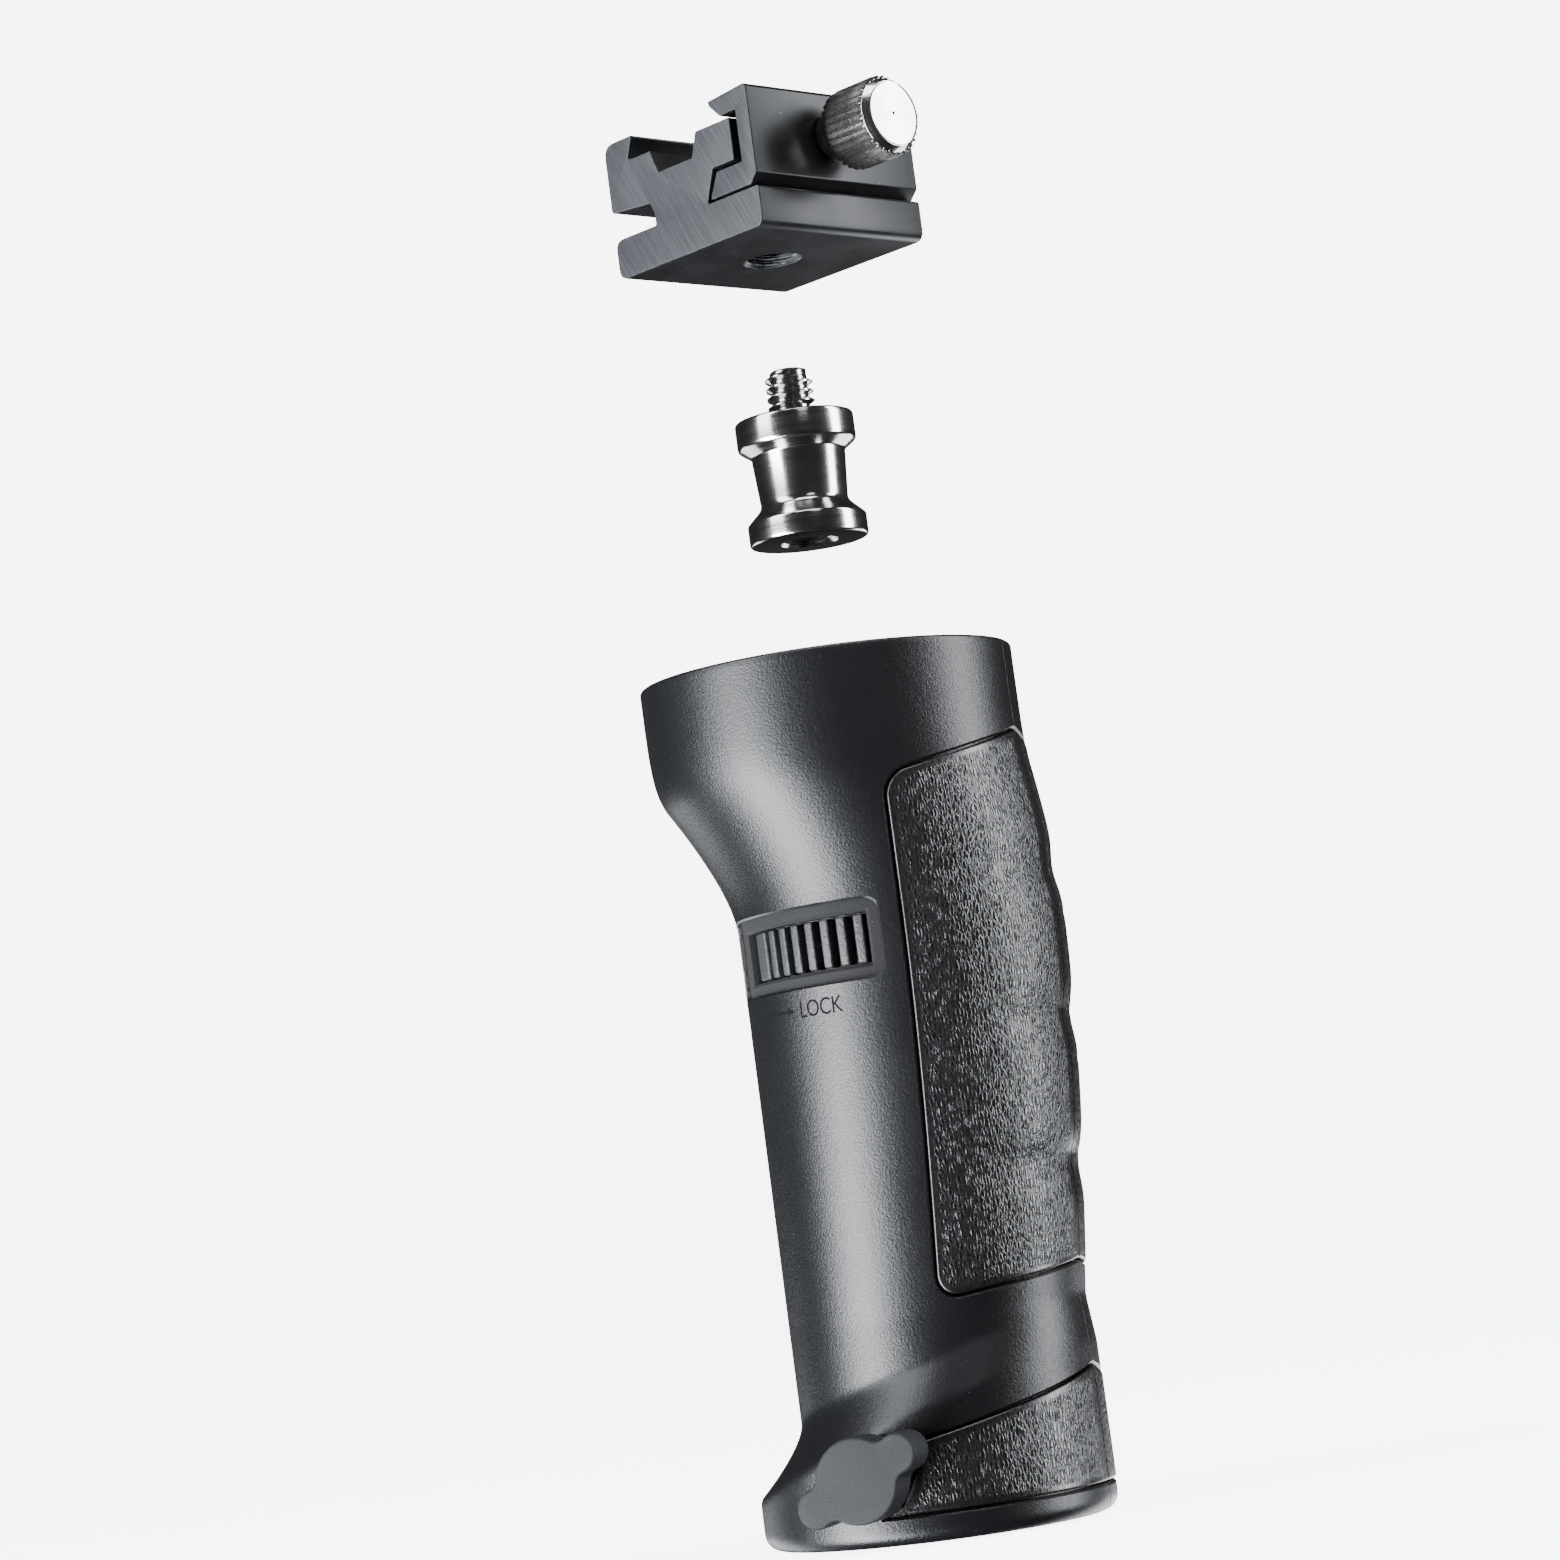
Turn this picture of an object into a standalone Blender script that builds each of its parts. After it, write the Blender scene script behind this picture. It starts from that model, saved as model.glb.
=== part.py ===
# Camera flash bracket: a hand grip with a lock slide, a spigot and a cold-shoe adapter.
# Metres. +Z runs up the handle, +X to the fingers, -Y to the side of the wing knob.
# The spigot and the adapter stand above the handle, taken off, and slide down into place.

import math

import bmesh
import bpy
from mathutils import Matrix, Vector

# Gaps between pieces
SEAT_GAP = 0.0003
RUNNING_GAP = 0.0003
PARTING_GAP = 0.0002
SOCKET_CLEARANCE = 0.0002
THREAD_CLEARANCE = 0.00012
OVERRUN = 0.002

# Handle outline: round sections about a centre that moves in X
HANDLE_HEIGHT = 0.113
RIM_RADIUS = 0.0248
RIM_SHIFT = -0.0003
GRIP_RADIUS = 0.02135
WAIST_RADIUS = 0.01945
WAIST_SHIFT = 0.0034
FOOT_RADIUS = 0.02305
FOOT_SHIFT = 0.00025
SIDE_SHARE = 0.97
FLARE_BASE_DROP = 0.034
FLARE_TOP_DROP = 0.0148
FLARE_CURVE_SHARE = 1.4
FOOT_START_FINGER = 0.027
FOOT_START_PALM = 0.0162
FOOT_CREASE_FINGER = 0.0222
FOOT_CREASE_PALM = 0.0054
FOOT_CURVE_SHARE = 1.6
EDGE_RADIUS = 0.002
SHELL_WALL = 0.0022

# Finger grooves down the +X side
GROOVE_DROP = 0.0305
GROOVE_PITCH = 0.019
GROOVE_COUNT = 3
GROOVE_DEPTH = 0.0009
GROOVE_WIDTH = 0.0028

# Rubber grip patches and the lower band
PAD_DEPTH = 0.0012
PAD_PROUD = 0.0001
PAD_DROP_FINGER = 0.0122
PAD_DROP_EDGE = 0.0174
PAD_FOOT_FINGER = 0.0323
PAD_FOOT_EDGE = 0.0297
PAD_CORNER = 0.003
PAD_SPAN = math.radians(70)
BAND_FOOT = 0.0039
BAND_TOP_FINGER = 0.0186
BAND_TOP_EDGE = 0.0114
BAND_SPAN = math.radians(88)

# Lock slide in its window
WINDOW_DROP = 0.0406
WINDOW_HEIGHT = 0.0066
WINDOW_START = math.radians(-162)
WINDOW_END = math.radians(-83)
RECESS_BORDER = 0.0017
RECESS_DEPTH = 0.0007
RECESS_START = math.radians(-171)
RING_MARGIN = 0.0012
RING_HEIGHT = 0.0098
RING_WALL = 0.0016
RING_GAP = 0.00031
CAM_ROOM = 0.0012
RIB_REACH = 0.0018
RIB_COUNT = 8
RIB_PITCH = math.radians(6.9)
RIB_WIDE = math.radians(12.7)
RIB_LAND_SHARE = 0.55
RIB_MARGIN = 0.0002
RIBS_END = math.radians(-84)
LOCK_TURN = math.radians(6)
ARM_HALF = math.radians(30)
CAM_LIFT = 0.00045
NOSE_HALF = math.radians(3)
JOIN_INSET = 0.00003

# Spigot and its socket
SPIGOT_RADIUS = 0.00795
SPIGOT_LENGTH = 0.0168
WAIST_TOP_RADIUS = 0.0063
WAIST_LOW_RADIUS = 0.0058
FLANGE_TOP_LAND = 0.0037
FLANGE_TOP_SLOPE = 0.0012
FLANGE_LOW_LAND = 0.0029
FLANGE_LOW_SLOPE = 0.0021
SPIGOT_EDGE = 0.0004
THREAD_RADIUS = 0.003175
THREAD_LENGTH = 0.0065
THREAD_HOLE_DEPTH = 0.0095
HOLE_CHAMFER = 0.0006
SPIGOT_LIFT = 0.0337
SOCKET_WALL = 0.00175
SOCKET_FLOOR = 0.003
GUIDE_HEIGHT = 0.0078
FLANGE_HEIGHT = 0.0017
LEDGE_HEIGHT = 0.0016
LEDGE_REACH = 0.003

# Clamp shoe in the wall of the spigot socket
SHOE_HALF = math.radians(24)
SHOE_DROP = 0.0145
SHOE_HEIGHT = 0.0095
SHOE_CLEARANCE = 0.0001

# Top cap and base plate
CAP_LIP = 0.0034
CAP_THICKNESS = 0.0018
CAP_LIP_HEIGHT = 0.0024
BASE_LIP = 0.0042
BASE_LIP_HEIGHT = 0.0037
BASE_THICKNESS = 0.0016
PLATE_RECESS = 0.0004

# Stand socket and its clamp
STAND_DEPTH = 0.0366
STAND_PLATE = 0.0035
CLAMP_HEIGHT = 0.009
BOSS_RADIUS = 0.0062
BOSS_GAP = 0.0005585
NUT_ACROSS = 0.0082
NUT_LENGTH = 0.0048
CLAMP_SCREW_RADIUS = 0.00295
PAD_TIP_REACH = 0.0067
PAD_TIP_CHAMFER = 0.0005
CLAMP_PAD_RADIUS = 0.0031
CLAMP_PAD_LENGTH = 0.0036
SCREW_TIP_RADIUS = 0.0016
SCREW_TIP_LENGTH = 0.0014
KNOB_HOLE_RADIUS = 0.0052

# Wing knob
KNOB_STAND_OFF = 0.0008
KNOB_THICKNESS = 0.0054
KNOB_DISC_RADIUS = 0.0054
KNOB_LOBE_RADIUS = 0.0025
KNOB_LOBE_REACH = 0.0064
KNOB_FILLET = 0.0016
KNOB_EDGE = 0.0003
KNOB_HUB_RADIUS = 0.0043
KNOB_HUB_LENGTH = 0.0026
KNOB_TILT = math.radians(27)

# Case screws
SCREW_BOSS_RADIUS = 0.0036
SCREW_HEAD_RADIUS = 0.0024
SCREW_HEAD_HEIGHT = 0.0016
SCREW_SHAFT_RADIUS = 0.0012
SCREW_LENGTH = 0.015
SCREW_SEAT = 0.0095
POST_SHARE = 0.48
SCREW_RIM_SHARE = 0.6
SCREW_CROWN_SHARE = 0.7

# Cold-shoe adapter: a profile across its width, sawn off to its length
SHOE_WIDTH = 0.0285
SHOE_LENGTH = 0.0295
SHOE_LIFT = 0.0213
SHOE_TURN = math.radians(-25.5)
SLAB_HEIGHT = 0.0054
SLAB_CORNER = 0.0012
SLOT_DEPTH = 0.0083
SLOT_HEIGHT = 0.0038
BLOCK_TOP = 0.0185
BLOCK_LIP = 0.0058
BLOCK_CORNER = 0.0015
LEDGE_LEVEL = 0.0154
UNDERCUT = 0.0014
LIP_LOW = 0.0044
RELIEF_FLOOR = 0.0122
RELIEF_START = 0.0089
RELIEF_INSET = 0.0105
RELIEF_SLOPE = 0.0012
BASE_INSET = 0.0038
TONGUE_TOP = 0.0097
TONGUE_TIP_INSET = 0.008
TONGUE_ROOT_INSET = 0.0098
JAW_TOP = 0.019
JAW_WALL = 0.0025
JAW_LIP = 0.0075
JAW_LIP_RUN = 0.002
JAW_LIP_FACE = 0.00125
JAW_GAP = 0.0006
JAW_BEVEL = 0.0014
JAW_EDGE = 0.0005
JAW_PITCH = 0.0007

# Thumb screw of the jaw
THUMB_HEIGHT = 0.0128
THUMB_SCREW_RADIUS = 0.0019
THUMB_NECK_RADIUS = 0.0034
THUMB_NECK_LENGTH = 0.0028
THUMB_HEAD_RADIUS = 0.0054
THUMB_HEAD_LENGTH = 0.0088
THUMB_BEVEL = 0.0006
THUMB_WALL = 0.0008
KNURL_COUNT = 24
KNURL_DEPTH = 0.00035

# How finely round forms are cut
SHELL_STEPS = 20
CAVITY_STEPS = 28
RING_STEPS = 40
ROUND_STEPS = 32
HOLE_STEPS = 24
SMALL_STEPS = 18
SCREW_STEPS = 12
CORNER_STEPS = 4
EDGE_SHARES = (0.0, 0.1, 0.35, 1.0)
SMOOTH_ANGLE = math.radians(35)

FLARE_BASE = HANDLE_HEIGHT - FLARE_BASE_DROP
FLARE_TOP = HANDLE_HEIGHT - FLARE_TOP_DROP
GROOVE_TOP = HANDLE_HEIGHT - GROOVE_DROP
PAD_TOP_FINGER = HANDLE_HEIGHT - PAD_DROP_FINGER
PAD_TOP_EDGE = HANDLE_HEIGHT - PAD_DROP_EDGE
WINDOW_FOOT = HANDLE_HEIGHT - WINDOW_DROP
RING_FOOT = WINDOW_FOOT - RING_MARGIN
SHOE_FOOT = HANDLE_HEIGHT - SHOE_DROP
SPIGOT_FOOT = HANDLE_HEIGHT + SEAT_GAP - SPIGOT_LENGTH + SPIGOT_LIFT
SHOE_FLOOR = SPIGOT_FOOT + SPIGOT_LENGTH + SEAT_GAP + SHOE_LIFT
SOCKET_RADIUS = SPIGOT_RADIUS + SOCKET_CLEARANCE
LINER_RADIUS = SOCKET_RADIUS + SOCKET_WALL
RING_RADIUS = GRIP_RADIUS * SIDE_SHARE - SHELL_WALL - RING_GAP
GRIP_SHIFT = RING_RADIUS - RING_WALL - LINER_RADIUS - CAM_ROOM
GUIDE_RADIUS = RING_RADIUS - RING_WALL - RUNNING_GAP
CAP_TOP = HANDLE_HEIGHT - PLATE_RECESS
CAP_STEP = HANDLE_HEIGHT - CAP_LIP_HEIGHT - SEAT_GAP
CAP_FOOT = CAP_STEP - CAP_THICKNESS
ARM_TOP = CAP_FOOT - RUNNING_GAP
THREAD_HOLE_RADIUS = THREAD_RADIUS + THREAD_CLEARANCE
BOSS_REACH = FOOT_RADIUS * SIDE_SHARE - SHELL_WALL - BOSS_GAP
KNOB_FACE = BOSS_REACH + KNOB_STAND_OFF + KNOB_HUB_LENGTH + KNOB_THICKNESS
BASE_EDGE = SHOE_WIDTH - BASE_INSET
TONGUE_TIP = SHOE_WIDTH - TONGUE_TIP_INSET
TONGUE_ROOT = SHOE_WIDTH - TONGUE_ROOT_INSET
RELIEF_END = SHOE_WIDTH - RELIEF_INSET
SHOE_HOLE_DEPTH = THREAD_LENGTH + 2 * SEAT_GAP
THUMB_HOLE_END = RELIEF_END + THUMB_WALL
THUMB_REACH = SHOE_WIDTH - THUMB_HOLE_END - JAW_PITCH


def clear_scene():
    for item in list(bpy.data.objects):
        bpy.data.objects.remove(item, do_unlink=True)


def material(name, color, roughness, metallic=0.0):
    made = bpy.data.materials.new(name)
    made.use_nodes = True
    shader = made.node_tree.nodes["Principled BSDF"]
    shader.inputs["Base Color"].default_value = (*color, 1.0)
    shader.inputs["Roughness"].default_value = roughness
    shader.inputs["Metallic"].default_value = metallic
    return made


def add_mesh(name, points, faces):
    mesh = bpy.data.meshes.new(name)
    mesh.from_pydata([tuple(point) for point in points], [], faces)
    work = bmesh.new()
    work.from_mesh(mesh)
    bmesh.ops.recalc_face_normals(work, faces=work.faces)
    bmesh.ops.triangulate(work, faces=work.faces)
    work.to_mesh(mesh)
    work.free()
    mesh.shade_smooth()
    mesh.set_sharp_from_angle(angle=SMOOTH_ANGLE)
    item = bpy.data.objects.new(name, mesh)
    bpy.context.scene.collection.objects.link(item)
    return item


def put_at(item, origin):
    """Moves an object's origin to a place, such as a joint's axis, with its shape left where it is."""
    item.data.transform(Matrix.Translation(-Vector(origin)))
    item.location = origin
    return item


def hide(cutter):
    cutter.hide_render = True
    cutter.display_type = "WIRE"
    return cutter


def combine(item, other, operation, solver):
    modifier = item.modifiers.new(other.name, "BOOLEAN")
    modifier.operation = operation
    modifier.solver = solver
    modifier.object = hide(other)
    return item


def cut(item, *others, solver="EXACT"):
    for other in others:
        combine(item, other, "DIFFERENCE", solver)
    return item


def join(item, *others, solver="EXACT"):
    for other in others:
        combine(item, other, "UNION", solver)
    return item


def loft(name, rings):
    """Closed body through rings of equally many points, the first and last filled."""
    count = len(rings[0])
    points = [point for ring in rings for point in ring]
    faces = [list(range(count)), [len(points) - count + i for i in range(count)]]
    for level in range(len(rings) - 1):
        for i in range(count):
            j = (i + 1) % count
            low = level * count
            faces.append([low + i, low + j, low + count + j, low + count + i])
    return add_mesh(name, points, faces)


def prism(name, outline, low, high):
    """An outline in X and Y between two heights."""
    return loft(name, [[(x, y, z) for x, y in outline] for z in (low, high)])


def turned(name, profile, centre=(0, 0), steps=ROUND_STEPS, looped=False):
    """Body turned about an upright axis, from (radius, height) points that end on the axis or loop."""
    points = []
    rings = []
    for radius, height in profile:
        if radius == 0:
            rings.append([len(points)])
            points.append((centre[0], centre[1], height))
            continue
        rings.append(list(range(len(points), len(points) + steps)))
        for i in range(steps):
            angle = math.tau * i / steps
            x = centre[0] + radius * math.cos(angle)
            y = centre[1] + radius * math.sin(angle)
            points.append((x, y, height))
    faces = []
    for one, two in zip(rings, rings[1:] + rings[: int(looped)]):
        for i in range(steps):
            j = (i + 1) % steps
            face = [one[i % len(one)], one[j % len(one)], two[j % len(two)], two[i % len(two)]]
            faces.append(list(dict.fromkeys(face)))
    return add_mesh(name, points, faces)


def rod(name, radius, low, high, centre=(0, 0), steps=SMALL_STEPS):
    return turned(name, [(0, low), (radius, low), (radius, high), (0, high)], centre, steps)


def aim(item, place, direction):
    """Turns a body made along +Z about the origin so that it runs from a place in a direction."""
    turn = Vector(direction).to_track_quat("Z", "Y").to_matrix().to_4x4()
    item.data.transform(Matrix.Translation(Vector(place)) @ turn)
    return item


def between(low, high, share):
    return low + (high - low) * share


def clamped(value):
    return min(1.0, max(0.0, value))


def arc_points(centre, radius, start, end, steps):
    turns = [between(start, end, i / steps) for i in range(steps + 1)]
    return [(centre[0] + radius * math.cos(t), centre[1] + radius * math.sin(t)) for t in turns]


# Outer form of the handle


def body_section(height):
    """Centre and radius of the handle's section, before the foot flares out."""
    if height > FLARE_BASE:
        share = clamped((height - FLARE_BASE) / (FLARE_TOP - FLARE_BASE)) ** FLARE_CURVE_SHARE
        return between(GRIP_SHIFT, RIM_SHIFT, share), between(GRIP_RADIUS, RIM_RADIUS, share)
    share = clamped((height - FOOT_START_FINGER) / (FLARE_BASE - FOOT_START_FINGER))
    share = math.sin(share * math.pi / 2)
    return between(WAIST_SHIFT, GRIP_SHIFT, share), between(WAIST_RADIUS, GRIP_RADIUS, share)


def foot_share(angle, height):
    """How far the section has flared into the foot. The flare runs down from finger to palm side."""
    turn = abs(math.remainder(angle, math.tau)) / math.pi
    start = between(FOOT_START_FINGER, FOOT_START_PALM, turn)
    crease = between(FOOT_CREASE_FINGER, FOOT_CREASE_PALM, turn)
    return clamped((start - height) / (start - crease)) ** FOOT_CURVE_SHARE


def groove_depth(angle, height):
    facing = max(0.0, math.cos(angle))
    depth = 0.0
    for i in range(GROOVE_COUNT):
        reach = (height - (GROOVE_TOP - i * GROOVE_PITCH)) / GROOVE_WIDTH
        depth += GROOVE_DEPTH * math.exp(-reach * reach)
    return depth * facing * facing


def edge_loss(height):
    if height >= EDGE_RADIUS:
        return 0.0
    drop = EDGE_RADIUS - max(0.0, height)
    return EDGE_RADIUS - math.sqrt(EDGE_RADIUS**2 - drop**2)


def skin_point(angle, height, inset=0.0, edged=True):
    """Point of the handle's outer form, or of a form that lies inset under it."""
    shift, radius = body_section(height)
    share = foot_share(angle, height)
    shift = between(shift, FOOT_SHIFT, share)
    radius = between(radius, FOOT_RADIUS, share) - groove_depth(angle, height)
    if edged:
        inset += edge_loss(height)
    x = shift + (radius - inset) * math.cos(angle)
    y = (radius * SIDE_SHARE - inset) * math.sin(angle)
    return x, y, height


def skin_ring(height, inset):
    angles = [math.tau * i / CAVITY_STEPS for i in range(CAVITY_STEPS)]
    return [skin_point(angle, height, inset, False) for angle in angles]


def round_ring(height, radius, centre):
    angles = [math.tau * i / CAVITY_STEPS for i in range(CAVITY_STEPS)]
    return [(centre + radius * math.cos(a), radius * math.sin(a), height) for a in angles]


def shell_heights(foot_steps, grip_steps, flare_steps):
    """Levels of the shell's rings, closer together where the form bends."""
    edge = [EDGE_RADIUS * share for share in EDGE_SHARES]
    foot = [between(EDGE_RADIUS, FOOT_START_FINGER, i / foot_steps) for i in range(1, foot_steps)]
    grip = [between(FOOT_START_FINGER, FLARE_BASE, i / grip_steps) for i in range(grip_steps)]
    flare = [between(FLARE_BASE, FLARE_TOP, i / flare_steps) for i in range(flare_steps + 1)]
    return edge + foot + grip + flare + [HANDLE_HEIGHT]


def half_body(name, side):
    """One half of the solid handle, cut flat along the parting plane."""
    rings = []
    for height in shell_heights(11, 9, 6):
        ring = []
        for i in range(SHELL_STEPS + 1):
            x, y, z = skin_point(side * math.pi * i / SHELL_STEPS, height)
            ring.append((x, side * max(abs(y), PARTING_GAP / 2), z))
        rings.append(ring)
    return loft(name, rings)


def patch(name, span, edges, outer, inner, corners=(0, 0), columns=10, rows=2):
    """A slab that follows the skin between two angles and two heights, with rounded corners."""
    start, end = span
    stations = [between(start, end, i / columns) for i in range(columns + 1)]
    leans = [corner / GRIP_RADIUS for corner in corners]
    for lean, turn, way in zip(leans, span, (1, -1)):
        if lean:
            for i in range(1, CORNER_STEPS + 1):
                bend = math.pi / 2 * i / CORNER_STEPS
                stations.append(turn + way * lean * (1 - math.cos(bend)))
    stations = sorted(set(stations))
    grid = []
    for angle in stations:
        inwards = 0.0
        for corner, lean, reach in zip(corners, leans, (angle - start, end - angle)):
            if 0 < lean and reach < lean:
                inwards = corner * (1 - math.sqrt(1 - (1 - clamped(reach / lean)) ** 2))
        low, high = edges(angle)
        levels = [between(low + inwards, high - inwards, i / rows) for i in range(rows + 1)]
        grid.append([(angle, level) for level in levels])
    rings = []
    for column in grid:
        ring = [skin_point(angle, level, inner, False) for angle, level in column]
        ring += [skin_point(angle, level, outer, False) for angle, level in reversed(column)]
        rings.append(ring)
    return loft(name, rings)


# Shells and what covers them


def pad_edges(grow):
    def edges(angle):
        share = abs(angle) / PAD_SPAN
        low = between(PAD_FOOT_FINGER, PAD_FOOT_EDGE, share)
        high = between(PAD_TOP_FINGER, PAD_TOP_EDGE, share)
        return low - grow, high + grow

    return edges


def band_edges(grow):
    def edges(angle):
        share = abs(angle) / BAND_SPAN
        return BAND_FOOT - grow, between(BAND_TOP_FINGER, BAND_TOP_EDGE, share) + grow

    return edges


def side_patch(name, side, span, edges, outer, inner, corner, columns, rows, past=0.0):
    """A patch on one half, from the parting plane to its far edge, or past the plane for a cutter."""
    if side < 0:
        return patch(name, (-span, past), edges, outer, inner, (corner, 0), columns, rows)
    return patch(name, (-past, span), edges, outer, inner, (0, corner), columns, rows)


def make_pads(side, word, rubber):
    join_gap = PARTING_GAP / GRIP_RADIUS
    grow = SEAT_GAP
    pad = side_patch(
        f"grip_pad_{word}", side, PAD_SPAN, pad_edges(0),
        -PAD_PROUD, PAD_DEPTH - SEAT_GAP, PAD_CORNER, 5, 19, -join_gap,
    )
    pad.data.materials.append(rubber)
    band = side_patch(
        f"foot_pad_{word}", side, BAND_SPAN, band_edges(0),
        -PAD_PROUD, PAD_DEPTH - SEAT_GAP, 0, 12, 3, -join_gap,
    )
    band.data.materials.append(rubber)
    lean = grow / GRIP_RADIUS
    pad_pocket = side_patch(
        f"pad_pocket_{word}", side, PAD_SPAN + lean, pad_edges(grow),
        -OVERRUN, PAD_DEPTH, PAD_CORNER + grow, 5, 19, lean,
    )
    band_pocket = side_patch(
        f"band_pocket_{word}", side, BAND_SPAN + lean, band_edges(grow),
        -OVERRUN, PAD_DEPTH, 0, 12, 3, lean,
    )
    return pad, band, [pad_pocket, band_pocket]


def make_cavity(name, bosses):
    """The hollow of the closed handle, with its lips and ledge, less the posts of the case screws."""
    ledge_top = RING_FOOT - RUNNING_GAP - FLANGE_HEIGHT - SEAT_GAP
    cap_lip = HANDLE_HEIGHT - CAP_LIP_HEIGHT
    ledge_radius = RING_RADIUS - LEDGE_REACH
    levels = [height for height in shell_heights(8, 8, 4) if BASE_LIP_HEIGHT < height < cap_lip]
    rings = [skin_ring(-OVERRUN, BASE_LIP), skin_ring(BASE_LIP_HEIGHT, BASE_LIP)]
    rings.append(skin_ring(BASE_LIP_HEIGHT, SHELL_WALL))
    rings += [skin_ring(height, SHELL_WALL) for height in levels if height < ledge_top - LEDGE_HEIGHT]
    rings.append(skin_ring(ledge_top - LEDGE_HEIGHT, SHELL_WALL))
    rings.append(round_ring(ledge_top - LEDGE_HEIGHT, ledge_radius, GRIP_SHIFT))
    rings.append(round_ring(ledge_top, ledge_radius, GRIP_SHIFT))
    rings.append(skin_ring(ledge_top, SHELL_WALL))
    rings += [skin_ring(height, SHELL_WALL) for height in levels if height > ledge_top]
    rings.append(skin_ring(cap_lip, SHELL_WALL))
    rings.append(skin_ring(cap_lip, CAP_LIP))
    rings.append(skin_ring(HANDLE_HEIGHT + OVERRUN, CAP_LIP))
    return cut(loft(name, rings), *bosses, solver="MANIFOLD")


def screw_places():
    """Where the case screws stand: X and height, each clear of the sockets and of the lock ring."""
    beside_stand = LINER_RADIUS + SCREW_BOSS_RADIUS + SHELL_WALL / 2
    beside_spigot = beside_stand + SHELL_WALL / 2
    plate_top = STAND_DEPTH + STAND_PLATE
    ledge_foot = RING_FOOT - FLANGE_HEIGHT - LEDGE_HEIGHT
    halfway = (plate_top + ledge_foot) / 2
    return [
        (beside_stand, PAD_FOOT_EDGE - SCREW_BOSS_RADIUS - SHELL_WALL),
        (-SCREW_BOSS_RADIUS - SHELL_WALL, halfway),
        (GRIP_SHIFT + GRIP_RADIUS * POST_SHARE, halfway),
        (beside_spigot, PAD_TOP_EDGE + SCREW_BOSS_RADIUS),
    ]


def screw_tools(index, place):
    """Post, bore and counterbore of one case screw, all along Y."""
    x, height = place
    far = RIM_RADIUS + OVERRUN
    post = rod(f"screw_post_{index}", SCREW_BOSS_RADIUS, -far, far, steps=SCREW_STEPS)
    aim(post, (x, 0, height), (0, 1, 0))
    depth = SCREW_LENGTH - SCREW_SEAT + OVERRUN
    bore = rod(f"screw_bore_{index}", SCREW_SHAFT_RADIUS + SEAT_GAP, -depth, far)
    aim(bore, (x, 0, height), (0, 1, 0))
    sink = rod(f"screw_sink_{index}", SCREW_HEAD_RADIUS + SEAT_GAP, SCREW_SEAT - SEAT_GAP, far)
    aim(sink, (x, 0, height), (0, 1, 0))
    return post, bore, sink


def make_case_screws(steel):
    """One pan-head screw, made once and stood at each post."""
    profile = [
        (0, SCREW_SEAT - SCREW_LENGTH),
        (SCREW_SHAFT_RADIUS / 2, SCREW_SEAT - SCREW_LENGTH),
        (SCREW_SHAFT_RADIUS, SCREW_SEAT - SCREW_LENGTH + SCREW_SHAFT_RADIUS),
        (SCREW_SHAFT_RADIUS, SCREW_SEAT),
        (SCREW_HEAD_RADIUS, SCREW_SEAT),
        (SCREW_HEAD_RADIUS, SCREW_SEAT + SCREW_HEAD_HEIGHT * SCREW_RIM_SHARE),
        (SCREW_HEAD_RADIUS * SCREW_CROWN_SHARE, SCREW_SEAT + SCREW_HEAD_HEIGHT),
        (0, SCREW_SEAT + SCREW_HEAD_HEIGHT),
    ]
    screws = []
    for index, (x, height) in enumerate(screw_places(), 1):
        screw = turned(f"case_screw_{index}", profile, steps=SCREW_STEPS)
        aim(screw, (x, 0, height), (0, 1, 0))
        screw.data.materials.append(steel)
        screws.append(put_at(screw, (x, 0, height)))
    return screws


def window_edges(grow):
    return lambda angle: (WINDOW_FOOT - grow, WINDOW_FOOT + WINDOW_HEIGHT + grow)


def make_handle(plastic, rubber):
    tools = [screw_tools(i, place) for i, place in enumerate(screw_places(), 1)]
    cavity = make_cavity("cavity", [post for post, bore, sink in tools])
    bores = [bore for post, bore, sink in tools]
    sinks = [sink for post, bore, sink in tools]

    left = half_body("shell_left", -1)
    left.data.materials.append(plastic)
    pad, band, pockets = make_pads(-1, "left", rubber)
    window = patch(
        "window_cut", (WINDOW_START, WINDOW_END), window_edges(0),
        -OVERRUN, SHELL_WALL + OVERRUN, columns=10,
    )
    border = RECESS_BORDER / GRIP_RADIUS
    recess = patch(
        "recess_cut", (RECESS_START, WINDOW_END + border), window_edges(RECESS_BORDER),
        -OVERRUN, RECESS_DEPTH, (0, RECESS_BORDER), columns=12,
    )
    knob_hole = aim(
        rod("knob_hole", KNOB_HOLE_RADIUS, 0, RIM_RADIUS + OVERRUN),
        (0, 0, CLAMP_HEIGHT), (0, -1, 0),
    )
    band_hole = aim(
        rod("band_hole", KNOB_HOLE_RADIUS + SHELL_WALL / 2, 0, RIM_RADIUS + OVERRUN),
        (0, 0, CLAMP_HEIGHT), (0, -1, 0),
    )
    boss_notch = aim(
        rod("boss_notch", BOSS_RADIUS + SEAT_GAP, 0, BOSS_REACH + SEAT_GAP),
        (0, 0, CLAMP_HEIGHT), (0, -1, 0),
    )
    tools_left = [cavity, *bores, knob_hole, boss_notch, *pockets, window, recess]
    cut(left, *tools_left, solver="MANIFOLD")
    cut(band, band_hole)

    right = half_body("shell_right", 1)
    right.data.materials.append(plastic)
    far_pad, far_band, far_pockets = make_pads(1, "right", rubber)
    cut(right, cavity, *bores, *sinks, *far_pockets, solver="MANIFOLD")
    return [left, right, pad, band, far_pad, far_band]


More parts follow.
